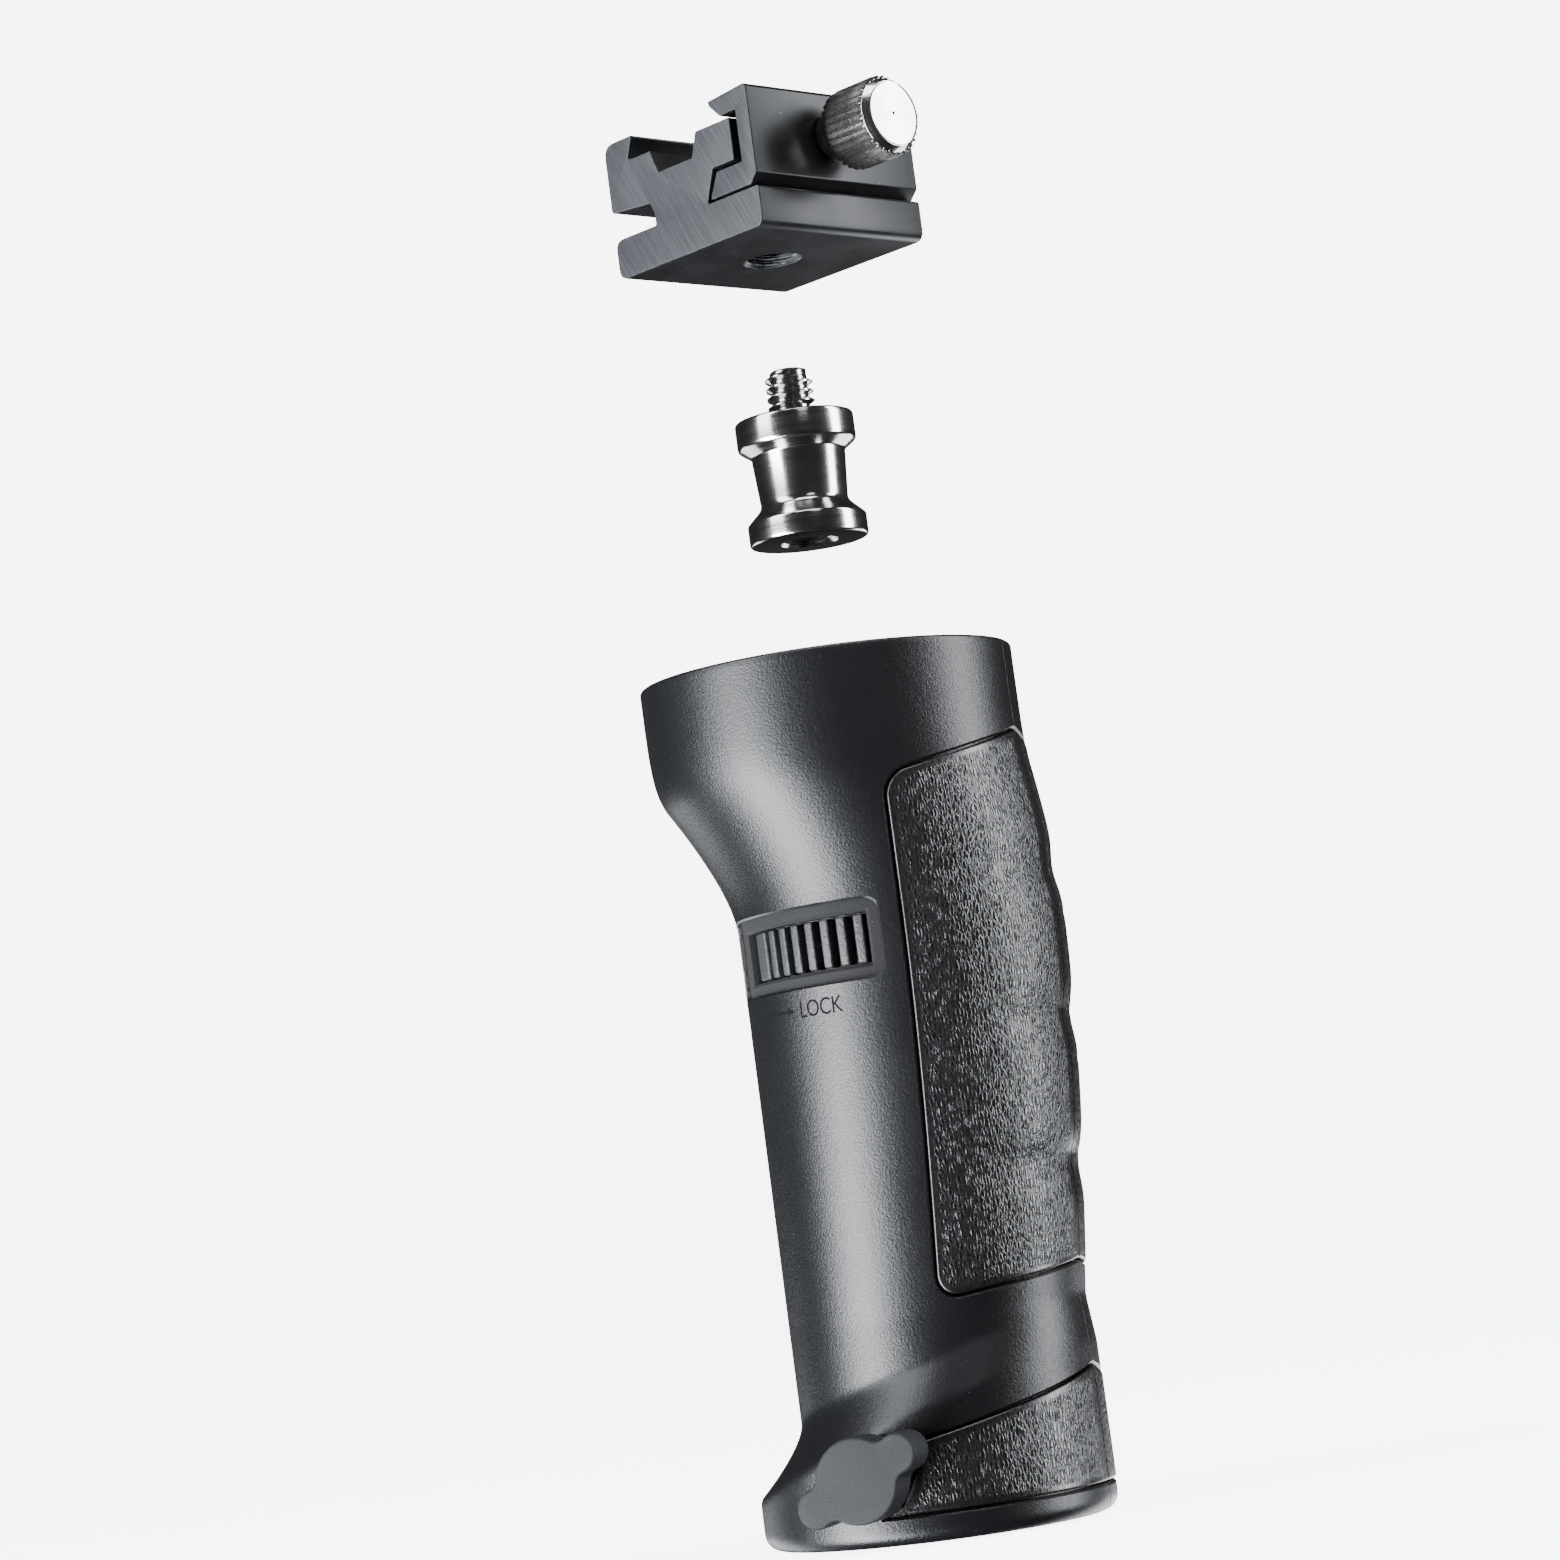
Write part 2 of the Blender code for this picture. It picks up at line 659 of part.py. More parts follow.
def lipped_plate(name, low, high, step, lower_inset, upper_inset, hole):
    """A plate that follows the inside of the handle, with a flange caught behind a lip."""
    rings = [
        skin_ring(low, lower_inset),
        skin_ring(step, lower_inset),
        skin_ring(step, upper_inset),
        skin_ring(high, upper_inset),
    ]
    bore = rod(f"{name}_hole", hole, low - OVERRUN, high + OVERRUN, steps=ROUND_STEPS)
    return cut(loft(name, rings), bore)


def make_plates(plastic):
    hole = LINER_RADIUS + SEAT_GAP
    cap = lipped_plate(
        "top_cap", CAP_FOOT, CAP_TOP, CAP_STEP,
        SHELL_WALL + SEAT_GAP, CAP_LIP + SEAT_GAP, hole,
    )
    base_step = BASE_LIP_HEIGHT + SEAT_GAP
    base = lipped_plate(
        "base_plate", PLATE_RECESS, base_step + BASE_THICKNESS, base_step,
        BASE_LIP + SEAT_GAP, SHELL_WALL + SEAT_GAP, hole,
    )
    boss_slot = aim(
        rod("boss_slot", BOSS_RADIUS + SEAT_GAP, 0, RIM_RADIUS), (0, 0, CLAMP_HEIGHT), (0, -1, 0)
    )
    cut(base, boss_slot)
    for plate in (cap, base):
        plate.data.materials.append(plastic)
    return [cap, base]


# Spigot socket, lock ring and clamp shoe


def sector(name, inner, outer, middle, half, low, high, centre=0.0, steps=8):
    """A block between two radii and two angles about an upright axis."""
    outline = arc_points((centre, 0), outer, middle - half, middle + half, steps)
    outline += arc_points((centre, 0), inner, middle + half, middle - half, steps)
    return prism(name, outline, low, high)


def make_spigot_socket(plastic):
    flange_foot = RING_FOOT - RUNNING_GAP - FLANGE_HEIGHT
    guide_top = flange_foot + FLANGE_HEIGHT + GUIDE_HEIGHT
    floor = HANDLE_HEIGHT - SPIGOT_LENGTH - SEAT_GAP
    body = turned(
        "spigot_socket",
        [
            (0, flange_foot),
            (RING_RADIUS, flange_foot),
            (RING_RADIUS, flange_foot + FLANGE_HEIGHT),
            (GUIDE_RADIUS, flange_foot + FLANGE_HEIGHT),
            (GUIDE_RADIUS, guide_top),
            (0, guide_top),
        ],
        (GRIP_SHIFT, 0),
        RING_STEPS,
    )
    tube = rod("socket_tube", LINER_RADIUS, flange_foot + FLANGE_HEIGHT, CAP_TOP, steps=ROUND_STEPS)
    bore = rod("socket_bore", SOCKET_RADIUS, floor, HANDLE_HEIGHT + OVERRUN, steps=ROUND_STEPS)
    under = floor - SOCKET_FLOOR
    hollow = rod("socket_hollow", SOCKET_RADIUS, flange_foot - OVERRUN, under, steps=ROUND_STEPS)
    slot = sector(
        "shoe_slot", SOCKET_RADIUS / 2, LINER_RADIUS + OVERRUN, math.pi,
        SHOE_HALF + SEAT_GAP / SOCKET_RADIUS, SHOE_FOOT - SEAT_GAP, SHOE_FOOT + SHOE_HEIGHT + SEAT_GAP,
    )
    join(body, tube, solver="MANIFOLD")
    cut(body, bore, hollow, slot, solver="MANIFOLD")
    body.data.materials.append(plastic)
    return body


def rib_outline():
    """The ring's outline with ribs over part of its turn, the first of them wide."""
    tip = RING_RADIUS + RIB_REACH
    root = RING_RADIUS - RING_WALL / 2
    start = RIBS_END - (RIB_COUNT - 1) * RIB_PITCH - RIB_WIDE
    outline = []
    foot = start
    for index in range(RIB_COUNT):
        pitch = RIB_PITCH if index else RIB_WIDE
        land = pitch - RIB_PITCH * (1 - RIB_LAND_SHARE)
        flank = RIB_PITCH * (1 - RIB_LAND_SHARE) / 4
        outline += arc_points((0, 0), RING_RADIUS, foot, foot + flank / 2, 1)
        outline += arc_points((0, 0), tip, foot + flank, foot + flank + land, 2 if index else 4)
        foot += pitch
    outline += arc_points((0, 0), root, foot, start, 10)
    return outline


def make_lock_ring(plastic):
    """Ribbed slide, the ring that carries it and the arm whose cam works the clamp shoe."""
    bore = RING_RADIUS - RING_WALL
    ring = turned(
        "lock_ring",
        [
            (bore, RING_FOOT),
            (RING_RADIUS, RING_FOOT),
            (RING_RADIUS, RING_FOOT + RING_HEIGHT),
            (bore, RING_FOOT + RING_HEIGHT),
        ],
        steps=RING_STEPS,
        looped=True,
    )
    rib_foot = WINDOW_FOOT + RIB_MARGIN
    rib_top = WINDOW_FOOT + WINDOW_HEIGHT - RIB_MARGIN
    ribs = prism("slide_ribs", rib_outline(), rib_foot, rib_top)

    back = RING_RADIUS - JOIN_INSET
    outline = arc_points((0, 0), back, math.pi - ARM_HALF, math.pi + ARM_HALF, 8)
    ramp = math.pi - NOSE_HALF
    slope = CAM_LIFT / LOCK_TURN
    ramp_end = math.pi + NOSE_HALF + LOCK_TURN
    deep = slope * (ramp_end - ramp)
    outline += arc_points((0, 0), bore + deep, math.pi + ARM_HALF, ramp_end, 4)
    outline += arc_points((0, 0), bore, ramp, math.pi - ARM_HALF, 4)
    arm = prism("cam_arm", outline, RING_FOOT + RING_HEIGHT / 2, ARM_TOP)
    join(ring, ribs, arm)
    for item in (ring, ribs, arm):
        item.location = (GRIP_SHIFT, 0, 0)
    ring.data.materials.append(plastic)
    return ring


def make_clamp_shoe(metal):
    """Block in the socket's wall, with a nose that the cam bears on."""
    inner = SOCKET_RADIUS - SHOE_CLEARANCE
    top = SHOE_FOOT + SHOE_HEIGHT
    shoe = sector("clamp_shoe", inner, LINER_RADIUS, math.pi, SHOE_HALF, SHOE_FOOT, top)
    nose_reach = RING_RADIUS - RING_WALL - RUNNING_GAP / 2
    outline = arc_points((GRIP_SHIFT, 0), nose_reach, math.pi - NOSE_HALF, math.pi + NOSE_HALF, 4)
    half_width = nose_reach * math.sin(NOSE_HALF)
    middle = -(inner + LINER_RADIUS) / 2
    outline += [(middle, -half_width), (middle, half_width)]
    nose = prism("clamp_nose", outline, SHOE_FOOT, top)
    join(shoe, nose)
    shoe.data.materials.append(metal)
    return shoe


# Stand socket and its wing clamp


def make_stand_socket(plastic):
    plate_inset = SHELL_WALL + SEAT_GAP
    body = loft(
        "stand_socket",
        [skin_ring(STAND_DEPTH, plate_inset), skin_ring(STAND_DEPTH + STAND_PLATE, plate_inset)],
    )
    inside = STAND_DEPTH + STAND_PLATE / 2
    tube = rod("stand_tube", LINER_RADIUS, PLATE_RECESS, inside, steps=ROUND_STEPS)
    bore = rod("stand_bore", SOCKET_RADIUS, PLATE_RECESS - OVERRUN, STAND_DEPTH, steps=ROUND_STEPS)
    boss = aim(
        rod("clamp_boss", BOSS_RADIUS, SOCKET_RADIUS + SOCKET_WALL / 2, BOSS_REACH, steps=HOLE_STEPS),
        (0, 0, CLAMP_HEIGHT), (0, -1, 0),
    )
    pad_bore = aim(
        rod("pad_bore", CLAMP_PAD_RADIUS + SEAT_GAP, 0, BOSS_REACH + OVERRUN),
        (0, 0, CLAMP_HEIGHT), (0, -1, 0),
    )
    pocket_reach = NUT_ACROSS / 2 + SEAT_GAP
    pocket = hexagon("nut_pocket", pocket_reach, BOSS_REACH - NUT_LENGTH, BOSS_REACH + OVERRUN)
    aim(pocket, (0, 0, CLAMP_HEIGHT), (0, -1, 0))
    join(body, tube, boss, solver="MANIFOLD")
    cut(body, bore, pad_bore, pocket, solver="MANIFOLD")
    body.data.materials.append(plastic)
    return body


def hexagon(name, flat_reach, low, high):
    corner = flat_reach / math.cos(math.pi / 6)
    return prism(name, arc_points((0, 0), corner, 0, math.tau * 5 / 6, 5), low, high)


def make_clamp(brass, steel, knob_plastic):
    """Nut, pressure pad, screw and knob, in a row along -Y. Lengths run out from the socket's axis."""
    nut_start = BOSS_REACH - NUT_LENGTH + SEAT_GAP
    nut = hexagon("clamp_nut", NUT_ACROSS / 2, nut_start, BOSS_REACH)
    nut_thread = rod("nut_thread", CLAMP_SCREW_RADIUS + THREAD_CLEARANCE, 0, RIM_RADIUS)
    nut.data.materials.append(brass)

    pad_back = PAD_TIP_REACH + CLAMP_PAD_LENGTH
    tip_depth = SCREW_TIP_LENGTH + SEAT_GAP
    tip_hole = SCREW_TIP_RADIUS + SEAT_GAP
    pad = turned(
        "clamp_pad",
        [
            (0, PAD_TIP_REACH),
            (CLAMP_PAD_RADIUS - PAD_TIP_CHAMFER, PAD_TIP_REACH),
            (CLAMP_PAD_RADIUS, PAD_TIP_REACH + PAD_TIP_CHAMFER),
            (CLAMP_PAD_RADIUS, pad_back),
            (tip_hole, pad_back),
            (tip_hole, pad_back - tip_depth),
            (0, pad_back - tip_depth),
        ],
        steps=SMALL_STEPS,
    )
    pad.data.materials.append(brass)

    shoulder = pad_back + SEAT_GAP
    screw_end = KNOB_FACE - KNOB_THICKNESS / 3
    screw = turned(
        "wing_screw",
        [
            (0, shoulder - SCREW_TIP_LENGTH),
            (SCREW_TIP_RADIUS, shoulder - SCREW_TIP_LENGTH),
            (SCREW_TIP_RADIUS, shoulder),
            (CLAMP_SCREW_RADIUS, shoulder),
            (CLAMP_SCREW_RADIUS, screw_end),
            (0, screw_end),
        ],
        steps=SMALL_STEPS,
    )
    screw.data.materials.append(steel)

    knob, hub, knob_bore = make_knob_solids(screw_end)
    knob.data.materials.append(knob_plastic)
    for item in (nut, nut_thread, pad, screw, knob, hub, knob_bore):
        put_at(aim(item, (0, 0, CLAMP_HEIGHT), (0, -1, 0)), (0, 0, CLAMP_HEIGHT))
    cut(nut, nut_thread)
    cut(join(knob, hub), knob_bore)
    return [nut, pad, screw, knob]


def knob_outline():
    """Two-winged outline: a disc, a lobe at each end and hollow fillets between."""
    to_fillet = KNOB_DISC_RADIUS + KNOB_FILLET
    lobe_to_fillet = KNOB_LOBE_RADIUS + KNOB_FILLET
    cosine = (KNOB_LOBE_REACH**2 + to_fillet**2 - lobe_to_fillet**2) / (2 * KNOB_LOBE_REACH * to_fillet)
    turn = math.acos(cosine)
    fillet = (to_fillet * math.cos(turn), to_fillet * math.sin(turn))
    lean = math.atan2(fillet[1], fillet[0] - KNOB_LOBE_REACH)
    outline = []
    for side in (0, math.pi):
        half = arc_points((KNOB_LOBE_REACH, 0), KNOB_LOBE_RADIUS, -lean, lean, 8)
        half += arc_points(fillet, KNOB_FILLET, lean - math.pi, turn - math.pi, 3)[1:]
        half += arc_points((0, 0), KNOB_DISC_RADIUS, turn, math.pi - turn, 8)[1:]
        other = (-fillet[0], fillet[1])
        half += arc_points(other, KNOB_FILLET, -turn, -lean, 3)[1:-1]
        for x, y in half:
            angle = side + KNOB_TILT
            outline.append((
                x * math.cos(angle) - y * math.sin(angle),
                x * math.sin(angle) + y * math.cos(angle),
            ))
    return outline


def make_knob_solids(screw_end):
    """Winged cap with bevelled edges, the hub that runs into the shell, and the bore for the screw."""
    outline = knob_outline()
    back = KNOB_FACE - KNOB_THICKNESS
    drawn = 1 - KNOB_EDGE / KNOB_DISC_RADIUS
    rings = []
    for level, share in (
        (back, drawn), (back + KNOB_EDGE, 1), (KNOB_FACE - KNOB_EDGE, 1), (KNOB_FACE, drawn),
    ):
        rings.append([(x * share, y * share, level) for x, y in outline])
    knob = loft("wing_knob", rings)
    hub = rod("knob_hub", KNOB_HUB_RADIUS, back - KNOB_HUB_LENGTH, back + KNOB_THICKNESS / 2)
    bore = rod("knob_bore", CLAMP_SCREW_RADIUS + SEAT_GAP, 0, screw_end + SEAT_GAP)
    return knob, hub, bore


# Spigot


def make_spigot(steel, foot):
    """Turned spigot with a male thread above and a threaded hole below. Its foot is at a height."""
    top = foot + SPIGOT_LENGTH
    hole = THREAD_HOLE_RADIUS
    profile = [
        (0, foot + THREAD_HOLE_DEPTH),
        (hole, foot + THREAD_HOLE_DEPTH),
        (hole, foot + HOLE_CHAMFER),
        (hole + HOLE_CHAMFER, foot),
        (SPIGOT_RADIUS - SPIGOT_EDGE, foot),
        (SPIGOT_RADIUS, foot + SPIGOT_EDGE),
        (SPIGOT_RADIUS, foot + FLANGE_LOW_LAND),
        (WAIST_LOW_RADIUS, foot + FLANGE_LOW_LAND + FLANGE_LOW_SLOPE),
        (WAIST_TOP_RADIUS, top - FLANGE_TOP_LAND - FLANGE_TOP_SLOPE),
        (SPIGOT_RADIUS, top - FLANGE_TOP_LAND),
        (SPIGOT_RADIUS, top - SPIGOT_EDGE),
        (SPIGOT_RADIUS - SPIGOT_EDGE, top),
        (THREAD_RADIUS, top),
        (THREAD_RADIUS, top + THREAD_LENGTH - HOLE_CHAMFER),
        (THREAD_RADIUS - HOLE_CHAMFER, top + THREAD_LENGTH),
        (0, top + THREAD_LENGTH),
    ]
    spigot = turned("spigot", profile, steps=ROUND_STEPS)
    spigot.data.materials.append(steel)
    return put_at(spigot, (0, 0, foot))


# Cold-shoe adapter, made about the axis of its threaded hole


def across(profile):
    """Profile points measured from the adapter's left side, moved to its middle."""
    return [(reach - SHOE_WIDTH / 2, height) for reach, height in profile]


def extruded(name, profile, low, high):
    """A profile in X and Z, drawn out along Y."""
    item = prism(name, across(profile), low, high)
    item.data.transform(Matrix.Rotation(math.radians(90), 4, "X"))
    return item


def make_shoe_base(alloy):
    slot_top = SLAB_HEIGHT + SLOT_HEIGHT
    profile = [
        (SLAB_CORNER, 0),
        (SHOE_WIDTH - SLAB_CORNER, 0),
        (SHOE_WIDTH, SLAB_CORNER),
        (SHOE_WIDTH, SLAB_HEIGHT - JAW_EDGE),
        (SHOE_WIDTH - JAW_EDGE, SLAB_HEIGHT),
        (TONGUE_ROOT, SLAB_HEIGHT),
        (TONGUE_TIP, TONGUE_TOP),
        (BASE_EDGE - JAW_EDGE, TONGUE_TOP),
        (BASE_EDGE, TONGUE_TOP + JAW_EDGE),
        (BASE_EDGE, LEDGE_LEVEL),
        (RELIEF_END, LEDGE_LEVEL),
        (RELIEF_END - RELIEF_SLOPE, RELIEF_FLOOR),
        (RELIEF_START + RELIEF_SLOPE, RELIEF_FLOOR),
        (RELIEF_START, LEDGE_LEVEL),
        (LIP_LOW, LEDGE_LEVEL),
        (BLOCK_LIP, BLOCK_TOP),
        (BLOCK_CORNER, BLOCK_TOP),
        (0, BLOCK_TOP - BLOCK_CORNER),
        (0, slot_top + JAW_EDGE),
        (JAW_EDGE, slot_top),
        (SLOT_DEPTH - UNDERCUT / 2, slot_top - UNDERCUT / 2),
        (SLOT_DEPTH, slot_top - UNDERCUT - UNDERCUT / 2),
        (SLOT_DEPTH, SLAB_HEIGHT),
        (SLAB_CORNER, SLAB_HEIGHT),
        (0, SLAB_HEIGHT - SLAB_CORNER),
        (0, SLAB_CORNER),
    ]
    base = extruded("shoe_base", profile, -SHOE_LENGTH / 2, SHOE_LENGTH / 2)
    hole = turned(
        "shoe_hole",
        [
            (0, -OVERRUN),
            (THREAD_HOLE_RADIUS + HOLE_CHAMFER + OVERRUN, -OVERRUN),
            (THREAD_HOLE_RADIUS, HOLE_CHAMFER),
            (THREAD_HOLE_RADIUS, SHOE_HOLE_DEPTH),
            (0, SHOE_HOLE_DEPTH),
        ],
        steps=HOLE_STEPS,
    )
    stud_hole = aim(
        rod("stud_hole", THUMB_SCREW_RADIUS + THREAD_CLEARANCE, 0, SHOE_WIDTH),
        (THUMB_HOLE_END - SHOE_WIDTH / 2, 0, THUMB_HEIGHT), (1, 0, 0),
    )
    cut(base, hole, stud_hole)
    base.data.materials.append(alloy)
    return base, [hole, stud_hole]


def make_shoe_jaw(alloy):
    inner = SHOE_WIDTH - JAW_WALL
    lip_low = LEDGE_LEVEL + JAW_GAP
    floor = SLAB_HEIGHT + SEAT_GAP
    lip_tip = SHOE_WIDTH - JAW_LIP
    profile = [
        (TONGUE_ROOT + JAW_GAP, floor),
        (SHOE_WIDTH - JAW_BEVEL, floor),
        (SHOE_WIDTH, floor + JAW_BEVEL),
        (SHOE_WIDTH, JAW_TOP - JAW_EDGE),
        (SHOE_WIDTH - JAW_EDGE, JAW_TOP),
        (lip_tip, JAW_TOP - JAW_EDGE),
        (lip_tip + JAW_EDGE / 2, JAW_TOP - JAW_LIP_FACE),
        (lip_tip + JAW_LIP_RUN, lip_low),
        (inner, lip_low),
        (inner, TONGUE_TOP - JAW_GAP),
        (TONGUE_TIP + JAW_GAP, TONGUE_TOP - JAW_GAP),
    ]
    jaw = extruded("shoe_jaw", profile, -SHOE_LENGTH / 2, SHOE_LENGTH / 2)
    hole = aim(
        rod("jaw_hole", THUMB_SCREW_RADIUS + SEAT_GAP, 0, SHOE_WIDTH),
        (0, 0, THUMB_HEIGHT), (1, 0, 0),
    )
    cut(jaw, hole)
    jaw.data.materials.append(alloy)
    return jaw, hole


def make_thumb_screw(steel):
    """Knurled head, neck and stud turned from one bar. It runs along +X from the jaw's face."""
    head_start = THUMB_NECK_LENGTH
    head_end = head_start + THUMB_HEAD_LENGTH
    rings = []
    steps = KNURL_COUNT * 2
    for level, radius, knurl in (
        (head_start, THUMB_HEAD_RADIUS - THUMB_BEVEL, 0),
        (head_start + THUMB_BEVEL, THUMB_HEAD_RADIUS, KNURL_DEPTH),
        (head_end - THUMB_BEVEL, THUMB_HEAD_RADIUS, KNURL_DEPTH),
        (head_end, THUMB_HEAD_RADIUS - THUMB_BEVEL, 0),
    ):
        ring = []
        for i in range(steps):
            reach = radius - (knurl if i % 2 else 0)
            turn = math.tau * i / steps
            ring.append((reach * math.cos(turn), reach * math.sin(turn), level))
        rings.append(ring)
    screw = loft("thumb_screw", rings)
    stud = turned(
        "thumb_stud",
        [
            (0, -THUMB_REACH),
            (THUMB_SCREW_RADIUS, -THUMB_REACH),
            (THUMB_SCREW_RADIUS, SEAT_GAP),
            (THUMB_NECK_RADIUS, SEAT_GAP),
            (THUMB_NECK_RADIUS, head_start + THUMB_BEVEL),
            (0, head_start + THUMB_BEVEL),
        ],
        steps=SMALL_STEPS,
    )
    place = (SHOE_WIDTH / 2, 0, THUMB_HEIGHT)
    for item in (screw, stud):
        put_at(aim(item, place, (1, 0, 0)), place)
    screw.data.materials.append(steel)
    return [join(screw, stud), stud]


def empty(name, place, parent, turn=0.0):
    made = bpy.data.objects.new(name, None)
    made.empty_display_size = SPIGOT_RADIUS
    made.location = place
    made.rotation_euler = (0, 0, turn)
    made.parent = parent
    bpy.context.scene.collection.objects.link(made)
    return made


def adopt(parent, items):
    for item in items:
        item.parent = parent


def centre_assembly(assembly):
    """Moves the whole bracket so that the middle of its box stands on the origin."""
    bpy.context.view_layer.update()
    graph = bpy.context.evaluated_depsgraph_get()
    corners = []
    for item in bpy.context.scene.objects:
        if item.type == "MESH" and not item.hide_render:
            solid = item.evaluated_get(graph)
            corners += [solid.matrix_world @ Vector(corner) for corner in solid.bound_box]
    for axis in (0, 1):
        ends = [corner[axis] for corner in corners]
        assembly.location[axis] = -(min(ends) + max(ends)) / 2


def main():
    clear_scene()
    black = material("shell_plastic", (0.018, 0.018, 0.02), 0.42)
    rubber = material("grip_rubber", (0.012, 0.012, 0.013), 0.5)
    liner = material("liner_plastic", (0.03, 0.03, 0.032), 0.5)
    slide = material("slide_plastic", (0.03, 0.032, 0.034), 0.45)
    grey = material("knob_plastic", (0.15, 0.155, 0.165), 0.55)
    alloy = material("black_alloy", (0.03, 0.031, 0.034), 0.38, 0.6)
    steel = material("bright_steel", (0.55, 0.55, 0.56), 0.2, 1.0)
    brass = material("brass", (0.6, 0.42, 0.16), 0.3, 1.0)

    handle = make_handle(black, rubber)
    handle += make_plates(liner)
    handle += make_case_screws(steel)
    handle += [make_spigot_socket(liner), make_lock_ring(slide), make_clamp_shoe(steel)]
    handle += [make_stand_socket(liner)]
    handle += make_clamp(brass, steel, grey)

    assembly = empty("assembly", (0, 0, 0), None)
    make_spigot(steel, SPIGOT_FOOT)
    shoe = empty("shoe_axis", (0, 0, SHOE_FLOOR), assembly, SHOE_TURN)
    base, base_tools = make_shoe_base(alloy)
    jaw, jaw_hole = make_shoe_jaw(alloy)
    adopt(shoe, [base, jaw, jaw_hole, *make_thumb_screw(steel), *base_tools])
    loose = [item for item in bpy.context.scene.objects if item.parent is None and item != assembly]
    adopt(assembly, loose)
    centre_assembly(assembly)


main()
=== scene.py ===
from math import acos, asin, atan2, cos, exp, hypot, pi, radians, remainder, sin, sqrt, tan, tau

import bmesh
import bpy
from mathutils import Matrix, Vector


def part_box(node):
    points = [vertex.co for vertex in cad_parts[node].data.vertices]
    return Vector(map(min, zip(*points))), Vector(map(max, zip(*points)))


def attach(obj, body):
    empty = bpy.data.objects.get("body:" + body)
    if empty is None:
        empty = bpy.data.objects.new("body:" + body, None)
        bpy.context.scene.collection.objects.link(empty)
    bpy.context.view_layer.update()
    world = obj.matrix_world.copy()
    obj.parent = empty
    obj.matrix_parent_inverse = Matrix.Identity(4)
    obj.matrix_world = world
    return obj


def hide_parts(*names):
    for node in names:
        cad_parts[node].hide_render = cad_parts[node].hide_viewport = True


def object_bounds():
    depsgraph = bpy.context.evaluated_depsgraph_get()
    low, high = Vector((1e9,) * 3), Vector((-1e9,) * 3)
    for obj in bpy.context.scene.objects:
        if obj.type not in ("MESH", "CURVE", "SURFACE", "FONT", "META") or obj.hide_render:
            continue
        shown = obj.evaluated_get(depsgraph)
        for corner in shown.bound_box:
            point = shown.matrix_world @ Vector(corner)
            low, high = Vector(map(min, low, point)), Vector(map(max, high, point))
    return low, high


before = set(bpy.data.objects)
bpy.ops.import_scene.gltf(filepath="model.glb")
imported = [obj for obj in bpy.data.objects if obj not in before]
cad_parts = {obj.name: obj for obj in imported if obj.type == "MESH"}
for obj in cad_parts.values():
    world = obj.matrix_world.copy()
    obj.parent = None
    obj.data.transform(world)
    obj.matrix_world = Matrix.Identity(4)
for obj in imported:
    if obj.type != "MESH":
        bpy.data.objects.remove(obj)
cadLow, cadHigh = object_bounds()
spigotLow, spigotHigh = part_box("spigot")
axisX, axisY = (spigotLow.x + spigotHigh.x) / 2, (spigotLow.y + spigotHigh.y) / 2   # the socket's axis
upright = Matrix.Translation((axisX, axisY, 0))
print("frame loaded, axis at", round(axisX, 6), round(axisY, 6))


# small tools for meshes

def between(low, high, share):
    return low + (high - low) * share


def clamped(value):
    return min(1.0, max(0.0, value))


def quarterTurns(first, count):
    return [pi / 2 * i / count for i in range(first, count + 1)]


def linked(name, data):
    piece = bpy.data.objects.new(name, data)
    bpy.context.scene.collection.objects.link(piece)
    return piece


def meshPiece(name, points, faces):
    mesh = bpy.data.meshes.new(name)
    mesh.from_pydata([tuple(p) for p in points], [], faces)
    work = bmesh.new()
    work.from_mesh(mesh)
    bmesh.ops.recalc_face_normals(work, faces=work.faces)
    work.to_mesh(mesh)
    work.free()
    return linked(name, mesh)


def loft(name, rings):
    # rings of equally many points, each closed round, with both ends filled
    count = len(rings[0])
    points = [p for ring in rings for p in ring]
    faces = [list(range(count)), [len(points) - count + i for i in range(count)]]
    for low in range(0, len(points) - count, count):
        for i in range(count):
            j = (i + 1) % count
            faces.append([low + i, low + j, low + count + j, low + count + i])
    return meshPiece(name, points, faces)


def sheet(name, outer, inner):
    # a solid between two grids of points, column by column, with its border closed by narrow faces
    columns, rows = len(outer), len(outer[0])
    points = [p for grid in (outer, inner) for column in grid for p in column]
    back = columns * rows
    faces = []
    for i in range(columns - 1):
        for j in range(rows - 1):
            a = i * rows + j
            face = [a, a + rows, a + rows + 1, a + 1]
            faces += [face, [back + k for k in face]]
    border = [i * rows for i in range(columns)] + [(columns - 1) * rows + j for j in range(1, rows)]
    border += [i * rows + rows - 1 for i in range(columns - 2, -1, -1)] + list(range(rows - 2, 0, -1))
    for a, b in zip(border, border[1:] + border[:1]):
        faces.append([a, b, back + b, back + a])
    return meshPiece(name, points, faces)


def turned(name, profile, steps, looped=False):
    # a profile of (radius, height) turned about Z
    points, rings, faces = [], [], []
    for radius, height in profile:
        if radius == 0:
            rings.append([len(points)])
            points.append((0, 0, height))
            continue
        rings.append(list(range(len(points), len(points) + steps)))
        for i in range(steps):
            turn = tau * i / steps
            points.append((radius * cos(turn), radius * sin(turn), height))
    for one, two in zip(rings, rings[1:] + rings[:int(looped)]):
        for i in range(steps):
            j = (i + 1) % steps
            face = [one[i % len(one)], one[j % len(one)], two[j % len(two)], two[i % len(two)]]
            faces.append(list(dict.fromkeys(face)))
    return meshPiece(name, points, faces)


